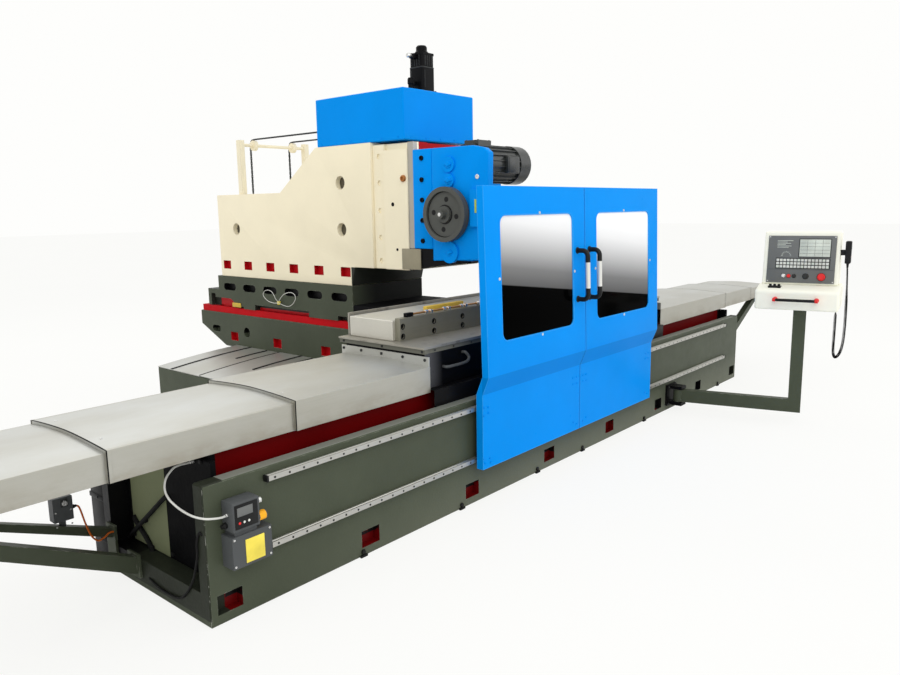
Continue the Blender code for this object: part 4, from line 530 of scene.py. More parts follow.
def pane_material():
    """Guard window with a painted reflection: pale at the top, shading to grey, then black below a sharp
    line.
    """
    made = Recipe("window_pane", 0.12, specular=0.006)
    height = made.math("ADD", made.axis("Z"), made.math("MULTIPLY", made.axis("X"), PANE_REFLECTION_TILT))
    reflection_greys = ((0.0, 0.0), (0.247, 0.001), (0.253, 0.11), (0.375, 0.2), (0.7, 0.8), (0.875, 0.95))
    made.tone = made.ramp(made.span(height, 0.0, 1.0, PANE_REFLECTION_LINE - 0.2, PANE_REFLECTION_LINE + 0.6),
                          [(stop, (grey, grey, grey)) for stop, grey in reflection_greys])
    made.bump(made.noise(1.5, 1.0), 0.0005, 0.3)
    return made.done()


CASTING = casting("casting_grey_green").done()
RED = enamel("inner_red", BRIGHT_RED, 0.5, 0.001, 60.0, specular=0.05).done()
BLUE = enamel("guard_blue", BLUE_COLOUR, 0.3, 0.0002, 260.0, specular=0.03, mottle=0.03).done()
DOOR_BLUE = door_finish()
CREAM = enamel("frame_cream", CREAM_COLOUR, 0.42, 0.0006, 55.0, mottle=0.025).done()
CONSOLE_CREAM = enamel("console_cream", (0.93, 0.92, 0.79), 0.4, 0.0002, 300.0, edge=0.004,
                       mottle=0.02).done()
STAINLESS = cover_steel()
TRAY_STEEL = brushed("tray_stainless", (0.38, 0.36, 0.31), 0.4, SHEET_LINES, 0.6,
                     stain=(0.14, 0.12, 0.1)).done()
BLOCK_STEEL = brushed("block_steel", (0.63, 0.61, 0.54), 0.4, FINE_LINES, 0.6).done()
STEEL = brushed("ground_steel", (0.5, 0.49, 0.45), 0.3, (2.0, 160.0, 160.0), 0.85).done()
JAW_STEEL = brushed("jaw_steel", (0.27, 0.26, 0.205), 0.4, FINE_LINES, 0.5, 0.2).done()
GUARD_STEEL = brushed("guard_steel", (0.3, 0.27, 0.19), 0.35, UPRIGHT_LINES, 0.6, 0.35).done()
CHROME = brushed("bright_steel", (0.72, 0.72, 0.7), 0.22, UPRIGHT_LINES, 0.9).done()
SATIN = brushed("satin_grip", (0.8, 0.79, 0.74), 0.34, UPRIGHT_LINES, 0.35).done()
BRASS = brushed("brass_fittings", (0.52, 0.26, 0.1), 0.3, (3.0, 90.0, 90.0), 0.85, 0.2).done()
BLACK_PAINT = enamel("black_paint", BLACK_COLOUR, 0.35, 0.0004, 120.0, (0.04, 0.04, 0.04), 0.08).done()
APRON_BLACK = enamel("apron_black", (0.01, 0.01, 0.011), 0.6, 0.0003, 120.0, specular=0.02).done()
GREY_PAINT = enamel("grey_paint", (0.075, 0.08, 0.082), 0.4, 0.0004, 120.0).done()
PANEL_GREY = enamel("panel_grey", (0.155, 0.16, 0.155), 0.45, 0.0002, 300.0, specular=0.1).done()
DARK_GREY = enamel("dark_grey_paint", (0.035, 0.037, 0.036), 0.42, 0.0005, 120.0).done()
MOTOR_GREY = enamel("motor_grey", (0.026, 0.029, 0.027), 0.28, 0.0004, 120.0, specular=0.5).done()
WHEEL_GREY = enamel("wheel_grey", (0.09, 0.093, 0.084), 0.36, 0.0004, 120.0).done()
BLACK_PLASTIC = plastic("black_plastic", (0.008, 0.008, 0.008)).done()
RUBBER = plastic("black_rubber", (0.006, 0.006, 0.006), 0.7, 400.0).done()
WHITE_HOSE = plastic("hose_white", (0.66, 0.66, 0.62), 0.4).done()
ORANGE_CABLE = plastic("cable_orange", (0.62, 0.13, 0.012), 0.5).done()
RED_PLASTIC = plastic("red_plastic", (0.75, 0.03, 0.03), 0.35).done()
YELLOW = plastic("yellow_plate", (0.88, 0.72, 0.1), 0.5).done()
AMBER = plastic("amber_knob", (0.85, 0.38, 0.01), 0.35).done()
SIGHT_BROWN = plastic("sight_brown", (0.42, 0.16, 0.04), 0.3).done()
SIGHT_GREEN = plastic("sight_green", (0.42, 0.52, 0.09), 0.3).done()
KEY_WHITE = plastic("key_white", (0.62, 0.63, 0.58), 0.5).done()
DISPLAY = plastic("display_pale", (0.58, 0.62, 0.55), 0.25, 40.0).done()
OCHRE = plastic("ochre_strip", (0.62, 0.42, 0.06), 0.5).done()

FINISHES = {name: finish for finish, names in (
    (bed_finish(), "bed_casting"),
    (inner_bed_finish(), "inner_bed"),
    (cross_bed_finish(), "cross_bed"),
    (saddle_finish(), "saddle"),
    (column_finish(), "column"),
    (ways_finish(), "column_ways"),
    (table_finish(), "table"),
    (CASTING, "rear_base cover_support_left cover_support_right console_arm runner_left runner_right"),
    (BLACK_PAINT, "console_bracket head_skirt"),
    (APRON_BLACK, "apron_1 apron_2"),
    (RED, "cross_ways"),
    (DOOR_BLUE, "door_left door_right"),
    (BLUE, "drive_cover head_slide gear_housing"),
    (CREAM, "column_front chain_frame"),
    (CONSOLE_CREAM, "console_desk console_cabinet"),
    (STAINLESS, "cover_left_1 cover_left_2 cover_left_3 cover_right_1 cover_right_2 cover_right_3"
                " rear_cover_left rear_cover_right"),
    (TRAY_STEEL, "tray"),
    (BLOCK_STEEL, "fixture_block"),
    (JAW_STEEL, "fixture_jaw"),
    (STEEL, "rail_lower rail_upper cutter_arbor"),
    (BLACK_PLASTIC, "pendant cord_gland"),
    (WHEEL_GREY, "flywheel"),
    (MOTOR_GREY, "spindle_motor"),
    (GREY_PAINT, "lubrication_pump limit_switch"),
    (pane_material(), "window_left window_right"),
) for name in names.split()}


def stand(point, axis=UP):
    """Matrix at a point whose Z runs along the axis."""
    return Matrix.Translation(point) @ Vector(UP).rotation_difference(Vector(axis)).to_matrix().to_4x4()


class Mould:
    """A mesh under construction: closed forms are added to it, each with one of its materials."""

    def __init__(self):
        self.mesh = bmesh.new()

    def face(self, corners, material):
        self.mesh.faces.new(corners).material_index = material

    def skin(self, rings, material, closed=False):
        """Faces between rings of points; a ring of one point is a tip, and open ends are capped."""
        made = [[self.mesh.verts.new(point) for point in ring] for ring in rings]
        pairs = list(zip(made, made[1:])) + ([(made[-1], made[0])] if closed else [])
        for first, second in pairs:
            count = max(len(first), len(second))
            for index in range(count):
                after = (index + 1) % count
                corners = [first[index % len(first)], first[after % len(first)],
                           second[after % len(second)], second[index % len(second)]]
                self.face(list(dict.fromkeys(corners)), material)
        if not closed:
            for ring in (made[0], made[-1]):
                if len(ring) > 2:
                    self.face(ring, material)

    def lathe(self, profile, place, material=0, sides=20, ring=False):
        """Body turned round the place's Z through (radius, height) points, or a ring of that section."""
        rings = []
        for radius, height in profile:
            count = sides if radius > 0 else 1
            turns = [2 * math.pi * index / count for index in range(count)]
            rings.append([place @ Vector((radius * math.cos(t), radius * math.sin(t), height))
                          for t in turns])
        self.skin(rings, material, ring)

    def knob(self, place, side, material=0, sides=20):
        """Turned solid: the side's (radius, height) points, closed at both ends."""
        self.lathe([(0, side[0][1]), *side, (0, side[-1][1])], place, material, sides)

    def washer(self, place, inner, outer, rise, material, sides):
        self.lathe([(inner, 0), (outer, 0), (outer, rise), (inner, rise)], place, material, sides, True)

    def block(self, low, high, material=0, edge=0.001, place=Matrix.Identity(4)):
        """Box with rounded edges between two corners of the place."""
        low, high = Vector(low), Vector(high)
        shape = Matrix.Translation((low + high) / 2) @ Matrix.Diagonal((*(high - low), 1.0))
        form = bmesh.new()
        bmesh.ops.create_cube(form, size=1.0, matrix=place @ shape)
        bmesh.ops.bevel(form, geom=form.edges[:], offset=edge, segments=2, profile=0.5, affect="EDGES")
        for face in form.faces:
            face.material_index = material
        data = bpy.data.meshes.new("block")
        form.to_mesh(data)
        form.free()
        self.mesh.from_mesh(data)
        bpy.data.meshes.remove(data)

    def plate(self, outline, depth, place, material=0):
        """Flat outline in the place's XY, raised along its Z."""
        rings = [[place @ Vector((x, y, z)) for x, y in outline] for z in (0, depth)]
        self.skin(rings, material)

    def sweep(self, route, radius, material=0, sides=10):
        route = [Vector(point) for point in route]
        normal = (route[1] - route[0]).orthogonal().normalized()
        rings = []
        for index, point in enumerate(route):
            ahead = route[min(index + 1, len(route) - 1)] - route[max(index - 1, 0)]
            ahead.normalize()
            normal = (normal - ahead * normal.dot(ahead)).normalized()
            side = ahead.cross(normal)
            turns = [2 * math.pi * step / sides for step in range(sides)]
            rings.append([point + radius * (normal * math.cos(t) + side * math.sin(t)) for t in turns])
        self.skin(rings, material)

    def screw(self, point, axis, radius, rise, material=0, sides=14, socket=True):
        """Cap screw on a face, with a socket in its head; six sides make a hexagon head."""
        side = [(radius, -0.0005), (radius, 0.75 * rise), (0.86 * radius, rise)]
        if socket:
            side += [(0.5 * radius, rise), (0.45 * radius, 0.4 * rise)]
        self.knob(stand(point, axis), side, material, sides)

    def settle(self, name, body, materials, slot=None, replaced=()):
        bmesh.ops.recalc_face_normals(self.mesh, faces=self.mesh.faces)
        for face in self.mesh.faces:
            face.smooth = True
        for edge in self.mesh.edges:
            edge.smooth = edge.calc_face_angle(math.pi) < SMOOTH_ANGLE
        data = bpy.data.meshes.new(name)
        self.mesh.to_mesh(data)
        self.mesh.free()
        for material in materials:
            data.materials.append(material)
        item = link(bpy.data.objects.new(name, data))
        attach(item, body)
        if replaced:
            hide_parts(*replaced)
        return item


def smooth_route(points, steps):
    """Catmull-Rom points through the route, with each span cut into steps."""
    route = [Vector(point) for point in points]
    padded = [2 * route[0] - route[1]] + route + [2 * route[-1] - route[-2]]
    result = []
    for index in range(1, len(padded) - 2):
        p0, p1, p2, p3 = padded[index - 1:index + 3]
        for step in range(steps):
            t = step / steps
            result.append(0.5 * (2 * p1 + (p2 - p0) * t + (2 * p0 - 5 * p1 + 4 * p2 - p3) * t ** 2
                                 + (3 * p1 - p0 - 3 * p2 + p3) * t ** 3))
    result.append(route[-1])
    return result


def route_length(route):
    return sum((second - first).length for first, second in zip(route, route[1:]))


def curve_piece(name, route, radius, material, body, sides=3):
    data = bpy.data.curves.new(name, "CURVE")
    data.dimensions = "3D"
    data.bevel_depth = radius
    data.bevel_resolution = sides
    data.use_fill_caps = True
    spline = data.splines.new("POLY")
    spline.points.add(len(route) - 1)
    for point, place in zip(spline.points, route):
        point.co = (*place, 1)
    data.materials.append(material)
    item = link(bpy.data.objects.new(name, data))
    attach(item, body)
    return item


def hang(name, points, radius, material, node=None, body="root"):
    """A cable between two places on the machine, drawn as a tube along a smoothed route."""
    route = smooth_route(points, 6)
    cord = curve_piece(name, route, radius, material, body)
    if node:
        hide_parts(node)


def console_frame():
    pivot = Matrix.Translation(CONSOLE_PIVOT)
    return pivot @ Matrix.Rotation(math.radians(CONSOLE_TURN), 4, "Z") @ pivot.inverted()


CONSOLE_FRAME = console_frame()


def turned(point):
    """A point of the console's own square frame, after the console's turn on its post."""
    return CONSOLE_FRAME @ Vector(point)


def curl(route):
    """Helix round the route, slim along its first stretch and fading out at both ends."""
    length = route_length(route)
    total = int(length / CURL_PITCH) * CURL_STEPS
    spans = [(b - a).length for a, b in zip(route, route[1:])]
    points = []
    normal = Vector((1, 0, 0))
    index, passed = 0, 0.0
    for step in range(total + 1):
        along = length * step / total
        while index < len(spans) - 1 and along > passed + spans[index]:
            passed += spans[index]
            index += 1
        share = (along - passed) / spans[index]
        centre = route[index].lerp(route[index + 1], min(share, 1.0))
        tangent = (route[index + 1] - route[index]).normalized()
        normal = (normal - tangent * normal.dot(tangent)).normalized()
        side = tangent.cross(normal)
        fade = min(1.0, along / CURL_FADE, (length - along) / CURL_FADE)
        grown = min(1.0, max(0.0, (along - CURL_SLIM) / CURL_GROWTH))
        radius = fade * (CURL_START_RADIUS + (CURL_RADIUS - CURL_START_RADIUS) * grown)
        angle = 2 * math.pi * step / CURL_STEPS
        points.append(centre + radius * (normal * math.cos(angle) + side * math.sin(angle)))
    return points


def add_cords():
    hang("hose_line", HOSE_POINTS, HOSE_RADIUS, WHITE_HOSE, "pump_hose")
    hang("switch_line", SWITCH_CABLE_POINTS, SWITCH_CABLE_RADIUS, ORANGE_CABLE, "switch_cable")
    start = Vector(PENDANT_START)
    points = [turned(start + Vector(offset)) for offset in PENDANT_OFFSETS] + [turned(PENDANT_SOCKET)]
    route = curl(smooth_route(points, 6))
    cord = curve_piece("pendant_curl", route, CURL_WIRE, RUBBER, "console", 1)
    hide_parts("pendant_cord")


def dress():
    """Finishes for the solids, smooth faces between creases, and rounded edges where they show."""
    for name, material in FINISHES.items():
        node = NODES[name]
        node.data.materials.clear()
        node.data.materials.append(material)
        if "custom_normal" in node.data.attributes:
            node.data.attributes.remove(node.data.attributes["custom_normal"])
        for face in node.data.polygons:
            face.use_smooth = True
        weld = node.modifiers.new("weld", "WELD")
        weld.merge_threshold = 0.00001
        if name in ROUNDED:
            bevel = node.modifiers.new("round", "BEVEL")
            bevel.width = ROUNDED[name]
            bevel.segments = 3
            bevel.angle_limit = SMOOTH_ANGLE
            node.modifiers.new("normals", "WEIGHTED_NORMAL")
        else:
            split = node.modifiers.new("creases", "EDGE_SPLIT")
            split.split_angle = SMOOTH_ANGLE


def rounded_loop(low, high, corner, steps=6):
    """Points and outward directions round a rectangle with round corners."""
    result = []
    (left, bottom), (right, top) = low, high
    for x, z, start in ((right, top, 0), (left, top, 90), (left, bottom, 180), (right, bottom, 270)):
        centre = (x - corner if x == right else x + corner, z - corner if z == top else z + corner)
        for step in range(steps + 1):
            angle = math.radians(start + 90 * step / steps)
            out = (math.cos(angle), math.sin(angle))
            result.append(((centre[0] + corner * out[0], centre[1] + corner * out[1]), out))
    return result


def door_face(z):
    """Y of the guard doors' front at a height."""
    return DOOR_FOLD[0] + DOOR_LEAN * (z - DOOR_FOLD[1]) if z > DOOR_FOLD[1] else DOOR_FACE_Y


def add_doors():
    for side, (start, end) in DOORS.items():
        trim = Mould()
        loop = rounded_loop((start + WINDOW_MARGIN, WINDOW_Z[0]), (end - WINDOW_MARGIN, WINDOW_Z[1]),
                            WINDOW_CORNER)
        trim.skin([[Vector((x + out_x * away, door_face(z) + depth, z + out_z * away))
                    for away, depth in WINDOW_LIP] for (x, z), (out_x, out_z) in loop], 0, closed=True)
        for x, z in DOOR_SCREWS[side]:
            trim.screw((x, DOOR_FACE_Y, z), FRONT, 0.0065, 0.003, 1, 12)
        for x, z in PANE_CLIPS[side]:
            trim.screw((x, door_face(z), z), PANE_CLIP_AXIS, 0.0085, 0.003, 2, 14, False)
        trim.settle("door_trim_" + side, "door_" + side, [DOOR_BLUE, BLUE, KEY_WHITE])
        pull = Mould()
        x, (foot, head) = PULL_X[side], PULL_Z
        for z, way in ((foot, 1), (head, -1)):
            route = [(0.0, 0.0), (PULL_REACH - PULL_BEND, 0.0)]
            for step in range(1, 7):
                angle = math.radians(15 * step)
                route.append((PULL_REACH - PULL_BEND + PULL_BEND * math.sin(angle),
                              PULL_BEND * (1 - math.cos(angle))))
            route.append((PULL_REACH, PULL_SLEEVE))
            pull.sweep([(x, door_face(z + way * rise) - out, z + way * rise) for out, rise in route],
                       0.015, 0, 16)
            pull.knob(stand((x, door_face(z), z), FRONT),
                      ((0.021, -0.001), (0.021, 0.004), (0.017, 0.007)), 0, 20)
        low, high = foot + PULL_GRIP, head - PULL_GRIP
        pull.sweep([(x, door_face(z) - PULL_REACH, z) for z in (low, low + 0.03, high - 0.03, high)],
                   0.0142, 1, 20)
        pull.settle("door_pull_" + side, "door_" + side, [BLACK_PLASTIC, SATIN], "black", ("handle_" + side,))


def cover_top(y, rank):
    """Height of a way cover's arched top at Y, for the outermost cover or one further in."""
    drop = COVER_STEP * rank
    arch = 1 - abs(y / (COVER_HALF - drop)) ** COVER_BOW
    return COVER_SHOULDER - drop + (COVER_CROWN - COVER_SHOULDER) * arch


def cover_band(mould, x0, x1, rank, height, material=0):
    """Thin lip over a cover's outline, from one X to another."""
    half = COVER_HALF - COVER_STEP * rank
    across = [-half + 2 * half * step / 24 for step in range(25)]
    outline = [(-half, COVER_BOTTOM)] + [(y, cover_top(y, rank)) for y in across] + [(half, COVER_BOTTOM)]
    rings = []
    for index, (y, z) in enumerate(outline):
        before, after = outline[max(index - 1, 0)], outline[min(index + 1, len(outline) - 1)]
        out = Vector((0, before[1] - after[1], after[0] - before[0])).normalized()
        inner = Vector((0, y, z)) - 0.001 * out
        outer = Vector((0, y, z)) + height * out
        rings.append([inner + Vector((x0, 0, 0)), outer + Vector((x0, 0, 0)),
                      outer + Vector((x1, 0, 0)), inner + Vector((x1, 0, 0))])
    mould.skin(rings, material)


def rear_arch(x):
    """Height of the rear cover's lowest tread at X."""
    return REAR_SHOULDER + REAR_BOW * (1 - (x / REAR_HALF) ** 2)


def rear_strip(mould, side, start, end, steps, y, near, far, lift, rise):
    """Raised strip across the rear cover's arch, from one X to another."""
    rings = []
    for step in range(steps + 1):
        x = side * (start + (end - start) * step / steps)
        z = rear_arch(x) + lift
        rings.append([Vector((x, y - near, z)), Vector((x, y - near, z + rise)),
                      Vector((x, y + far, z + rise)), Vector((x, y + far, z))])
    mould.skin(rings, 0)


def add_covers():
    for side, way, seams in COVER_SEAMS:
        for rank, (seam, body) in enumerate(zip(seams, ("table", "cover_%s_mid" % side))):
            lip = Mould()
            cover_band(lip, seam - way * 0.017, seam - way * 0.003, rank, 0.0014, 2)
            cover_band(lip, seam - way * 0.003, seam + way * 0.002, rank, 0.001, 0)
            for y in (-0.2, 0.2):
                lip.screw((seam - way * 0.045, y, cover_top(y, rank) - 0.0005), UP, 0.006, 0.0025, 1, 12)
            lip.settle("cover_lip_%s_%d" % (side, rank + 1), body, [RUBBER, CHROME, STAINLESS])
    seams = Mould()
    for side in (-1, 1):
        for index in range(1, 4):
            y = REAR_FRONT + REAR_TREAD * index
            lift = REAR_STEP * (3 - index)
            rear_strip(seams, side, REAR_INNER, REAR_OUTER, 12, y, 0.009, 0.006, lift, 0.0055)
            for x in (0.55, 0.8, 1.05):
                seams.screw((side * x, y - 0.05, rear_arch(x) + lift + 0.001), UP, 0.007, 0.003, 1, 12)
        for start, end, y in REAR_SLOTS:
            lift = REAR_STEP * (3 - int((y - REAR_FRONT) / REAR_TREAD))
            rear_strip(seams, side, start, end, 8, y, 0.012, 0.012, lift, 0.004)
    seams.settle("rear_cover_seams", "root", [RUBBER, CHROME])


def add_bed():
    fit = Mould()
    for low in RAIL_BOTTOMS:
        x, last = RAIL_SCREWS
        while x < last:
            fit.screw((x, RAIL_FRONT, low + 0.011), FRONT, 0.0052, 0.0016, 0, 10)
            x += RAIL_SCREW_PITCH
        for x in RAIL_STOPS:
            fit.block((x, RAIL_FRONT - 0.0025, low - 0.002), (x + 0.01, -0.4395, low + 0.026), 1, 0.0015)
    for x in LEVELLING_FEET:
        fit.screw((x, BED_FRONT, 0.026), FRONT, 0.013, 0.01, 1, 6, False)
        fit.block((x - 0.022, BED_FRONT - 0.012, 0.0005), (x + 0.022, -0.4395, 0.012), 1, 0.0015)
    for side in (-1, 1):
        for y in (-0.3, -0.02, 0.32):
            for z in (0.17, 0.66):
                fit.screw((side * 2.807, y, z), (side, 0, 0), 0.01, 0.008, 1, 6, False)
    fit.settle("bed_fittings", "root", [DARK_GREY, BLACK_PLASTIC])
    # Painted shade: a black duct with straps and screws stands where the bed's open end lies in shadow
    shade_duct = Mould()
    shade_duct.block((-2.88, 0.4405, 0.001), (-2.74, 0.6, 0.655), 0, 0.006)
    for z in (0.12, 0.33, 0.54):
        shade_duct.block((-2.884, 0.4405, z - 0.012), (-2.736, 0.604, z + 0.012), 0, 0.002)
        shade_duct.screw((-2.884, 0.52, z), LEFT, 0.007, 0.004, 1, 6, False)
    shade_duct.settle("bed_end_shade_duct", "root", [BLACK_PAINT, DARK_GREY], "black")
    lines = Mould()
    for points, radius in BED_LINES:
        lines.sweep(smooth_route(points, 5), radius, 0, 8)
    for x, y, z in BED_CLIPS:
        lines.block((x - 0.003, y - 0.011, z - 0.009), (x + 0.013, y + 0.011, z + 0.009), 0, 0.002)
    lines.settle("bed_end_wiring", "root", [RUBBER], "black")


def add_units():
    """Fittings of the oil unit on the bed's front and of the limit switch on its end."""
    pump = Mould()
    pump.block((-2.806, -0.523, 0.418), (-2.697, -0.5195, 0.52), 0, 0.002)
    pump.block((-2.796, -0.5245, 0.47), (-2.722, -0.5225, 0.508), 1, 0.001)
    for index, material in enumerate((2, 3, 3)):
        pump.screw((-2.786 + 0.022 * index, -0.5225, 0.443), FRONT, 0.0055, 0.0022, material, 12, False)
    pump.knob(stand((-2.6885, -0.5, 0.435), RIGHT),
              ((0.0165, 0), (0.0205, 0.004), (0.0205, 0.034), (0.017, 0.04)), 4, 24)
    pump.knob(stand((-2.6855, -0.495, 0.5), RIGHT),
              ((0.01, 0), (0.01, 0.006), (0.0125, 0.008), (0.0125, 0.02), (0.009, 0.023)), 6, 20)
    pump.knob(stand((-2.8155, -0.47, 0.43), LEFT),
              ((0.013, 0), (0.013, 0.01), (0.009, 0.014), (0.009, 0.022)), 0, 16)
    pump.block((-2.761, -0.5185, 0.262), (-2.67, -0.5155, 0.362), 5, 0.0008)
    for x in (-2.812, -2.642):
        for z in (0.262, 0.376):
            pump.screw((x, -0.516, z), FRONT, 0.005, 0.003, 6, 12)
    pump.knob(stand(HOSE_POINTS[-1], LEFT),
              ((0.008, 0), (0.008, 0.006), (0.0065, 0.008), (0.0065, 0.014)), 6, 6)
    pump.knob(stand(HOSE_POINTS[0], LEFT),
              ((0.009, 0), (0.009, 0.007), (0.007, 0.01), (0.007, 0.016)), 6, 6)
    pump.settle("pump_fittings", "root",
                [BLACK_PLASTIC, PANEL_GREY, RED_PLASTIC, KEY_WHITE, AMBER, YELLOW, CHROME])
    switch = Mould()
    switch.knob(stand(SWITCH_CABLE_POINTS[0], RIGHT),
                ((0.009, 0), (0.009, 0.008), (0.006, 0.012), (0.006, 0.018)), 0, 12)
    switch.block((-3.125, 0.331, 0.4), (-3.095, 0.3365, 0.436), 1, 0.001)
    switch.knob(stand((-3.11, 0.332, 0.418), FRONT), ((0.012, 0), (0.012, 0.008)), 2, 18)
    for z in (0.315, 0.38):
        for x in (-3.148, -3.083):
            switch.screw((x, 0.336, z), FRONT, 0.004, 0.002, 2, 10)
    switch.settle("switch_fittings", "root", [BLACK_PLASTIC, DARK_GREY, CHROME])


def add_table():
    fit = Mould()
    for index in range(11):
        x = -0.025 + JAW_BOLT_PITCH * (index - 5)
        for z in (0.958, 1.015):
            fit.screw((x, JAW_FRONT + 0.0175, z), FRONT, 0.0115, 0.0105, 0, 16)
            fit.washer(stand((x, JAW_FRONT - 0.0002, z), FRONT), 0.0125, 0.017, 0.0018, 0, 20)
    rod_y, rod_z = FIXTURE_ROD
    fit.sweep([(x, rod_y, rod_z) for x in (-1.3, 0.0, 1.24)], 0.0065, 1, 12)
    for index in range(15):
        x = -1.144 + 0.1625 * index
        fit.knob(stand((x, rod_y, rod_z), RIGHT), ((0.0125, 0), (0.0125, 0.018), (0.009, 0.023)), 2, 6)
        fit.block((x + 0.04, -0.063, 1.0615), (x + 0.062, -0.037, 1.084), 2, 0.003)
        fit.screw((x + 0.051, rod_y, 1.0835), UP, 0.006, 0.004, 1, 12)
    fit.block((-1.314, -0.063, 1.0615), (-1.256, -0.037, 1.086), 0, 0.003)
    fit.block((-1.05, 0.018, 1.0495), (-0.7, 0.052, 1.09), 3, 0.004)
    fit.settle("fixture_fittings", "table", [BLACK_PAINT, BRASS, CHROME, OCHRE])
    bolts = Mould()
    for side, strip, flange in ((-1, -1.452, -1.448), (1, 1.402, 1.398)):
        for y in (-0.305, 0.003, 0.324):
            bolts.screw((strip, y, 0.91), (side, 0, 0), 0.0075, 0.004)
        for y in (-0.32, -0.154, 0.013, 0.18, 0.33):
            bolts.screw((flange, y, 0.866), (side, 0, 0), 0.0085, 0.005)
    for index in range(18):
        bolts.screw((-1.37 + 0.158 * index, -0.325, 0.91), FRONT, 0.0055, 0.003, 0, 12)
    bolts.settle("table_bolts", "table", [DARK_GREY])
    skirt = Mould()
    for start in (-1.438, -0.023):
        end = start + 1.411
        skirt.block((start, GUARD_FRONT, 0.56), (end, GUARD_FRONT + 0.003, 0.7055), 0, 0.0008)
        skirt.block((start, GUARD_FRONT, 0.703), (end, -0.3248, 0.7058), 0, 0.0008)
        for step in range(5):
            skirt.screw((start + 0.12 + 0.29 * step, GUARD_FRONT, 0.69), FRONT, 0.005, 0.003, 0, 10)
    skirt.settle("table_front_guard", "table", [BLACK_PAINT], "black")
    bar = Mould()
    bar.sweep(smooth_route(TABLE_HANDLE, 5), 0.0085, 0, 12)
    bar.settle("table_handle", "table", [GREY_PAINT], "black")


def add_servo():
    motor = Mould()
    servo = Matrix.Translation((*SERVO_PLACE, 0))
    for half, corner, low, high, tone in SERVO_STAGES:
        outline = [point for point, out in rounded_loop((-half, -half), (half, half), corner, 4)]
        motor.plate(outline, high - low, servo @ Matrix.Translation((0, 0, low)), tone)
    for step in range(4):
        turn = servo @ Matrix.Rotation(math.radians(90 * step), 4, "Z")
        for across in (-0.036, -0.012, 0.012, 0.036):
            motor.block((0.064, across - 0.002, 2.73), (0.0705, across + 0.002, 2.808), 1, 0.0008, turn)
        motor.block((0.0685, -0.045, 2.575), (0.0705, -0.041, 2.7), 1, 0.0006, turn)
        motor.screw(turn @ Vector((0.07, 0.07, 2.55)), UP, 0.007, 0.006, 1)
    motor.lathe([(0, 2.82), (0.05, 2.82), (0.05, 2.838), (0.042, 2.846), (0.042, 2.872), (0.034, 2.884),
                 (0, 2.8848)], servo, 0, 28)
    motor.block((-0.075, 1.004, 2.78), (-0.015, 1.036, 2.815), 0, 0.004)
    motor.knob(stand((-0.073, 1.02, 2.799), LEFT),
               ((0.015, 0), (0.017, 0.004), (0.017, 0.032), (0.013, 0.036)), 2, 18)
    motor.block((-0.072, 1.006, 2.59), (-0.015, 1.034, 2.62), 0, 0.004)
    motor.lathe([(0, 0), (0.016, 0), (0.016, 0.04), (0.021, 0.046), (0.021, 0.078), (0.014, 0.09),
                 (0, 0.092)], stand((-0.082, 1.02, 2.5503)), 0, 18)
    motor.settle("lift_servo", "saddle", [BLACK_PAINT, DARK_GREY, CHROME], "black", ("lift_motor",))


def chain_route():
    """Link joints in Y and Z: back over the column's top, round the rear wheel and down."""
    y, top = CHAIN_START
    wheel_y, wheel_z, radius = CHAIN_WHEEL
    route = []
    for index in range(int((wheel_y - y) / CHAIN_PITCH) + 1):
        route.append((y + CHAIN_PITCH * index, top))
    turns = int(radius * math.pi / 2 / CHAIN_PITCH)
    for index in range(1, turns + 1):
        angle = math.pi / 2 * index / turns
        route.append((wheel_y + radius * math.sin(angle), wheel_z + radius * math.cos(angle)))
    for index in range(1, int((wheel_z - CHAIN_END) / CHAIN_PITCH) + 1):
        route.append((wheel_y + radius, wheel_z - CHAIN_PITCH * index))
    return route


def add_chains():
    route = chain_route()
    for name, side in (("left", -1), ("right", 1)):
        chain = Mould()
        for index, (first, second) in enumerate(zip(route, route[1:])):
            along = Vector((0, second[0] - first[0], second[1] - first[1]))
            reach = along.length / 2
            up = Vector((side, 0, 0)).cross(along).normalized()
            way = along.normalized()
            turn = Matrix((way, up, way.cross(up))).transposed().to_4x4()
            place = Matrix.Translation(Vector((side * CHAIN_X, *first)) + along / 2) @ turn
            outline = []
            for end, start in ((1, -90), (-1, 90)):
                for angle in (math.radians(start + 45 * step) for step in range(5)):
                    outline.append((end * reach + LINK_HALF * math.cos(angle), LINK_HALF * math.sin(angle)))
            across = 0.0045 if index % 2 else 0.0065
            for depth in (-across, across - LINK_PLATE):
                chain.plate(outline, LINK_PLATE, place @ Matrix.Translation((0, 0, depth)), 0)
            pin = place @ Matrix.Translation((-reach, 0, 0))
            chain.knob(pin, ((0.0036, -0.0075), (0.0036, 0.0075)), 0, 8)
        chain.settle("chain_links_" + name, "saddle", [DARK_GREY], "black", ("chain_" + name,))


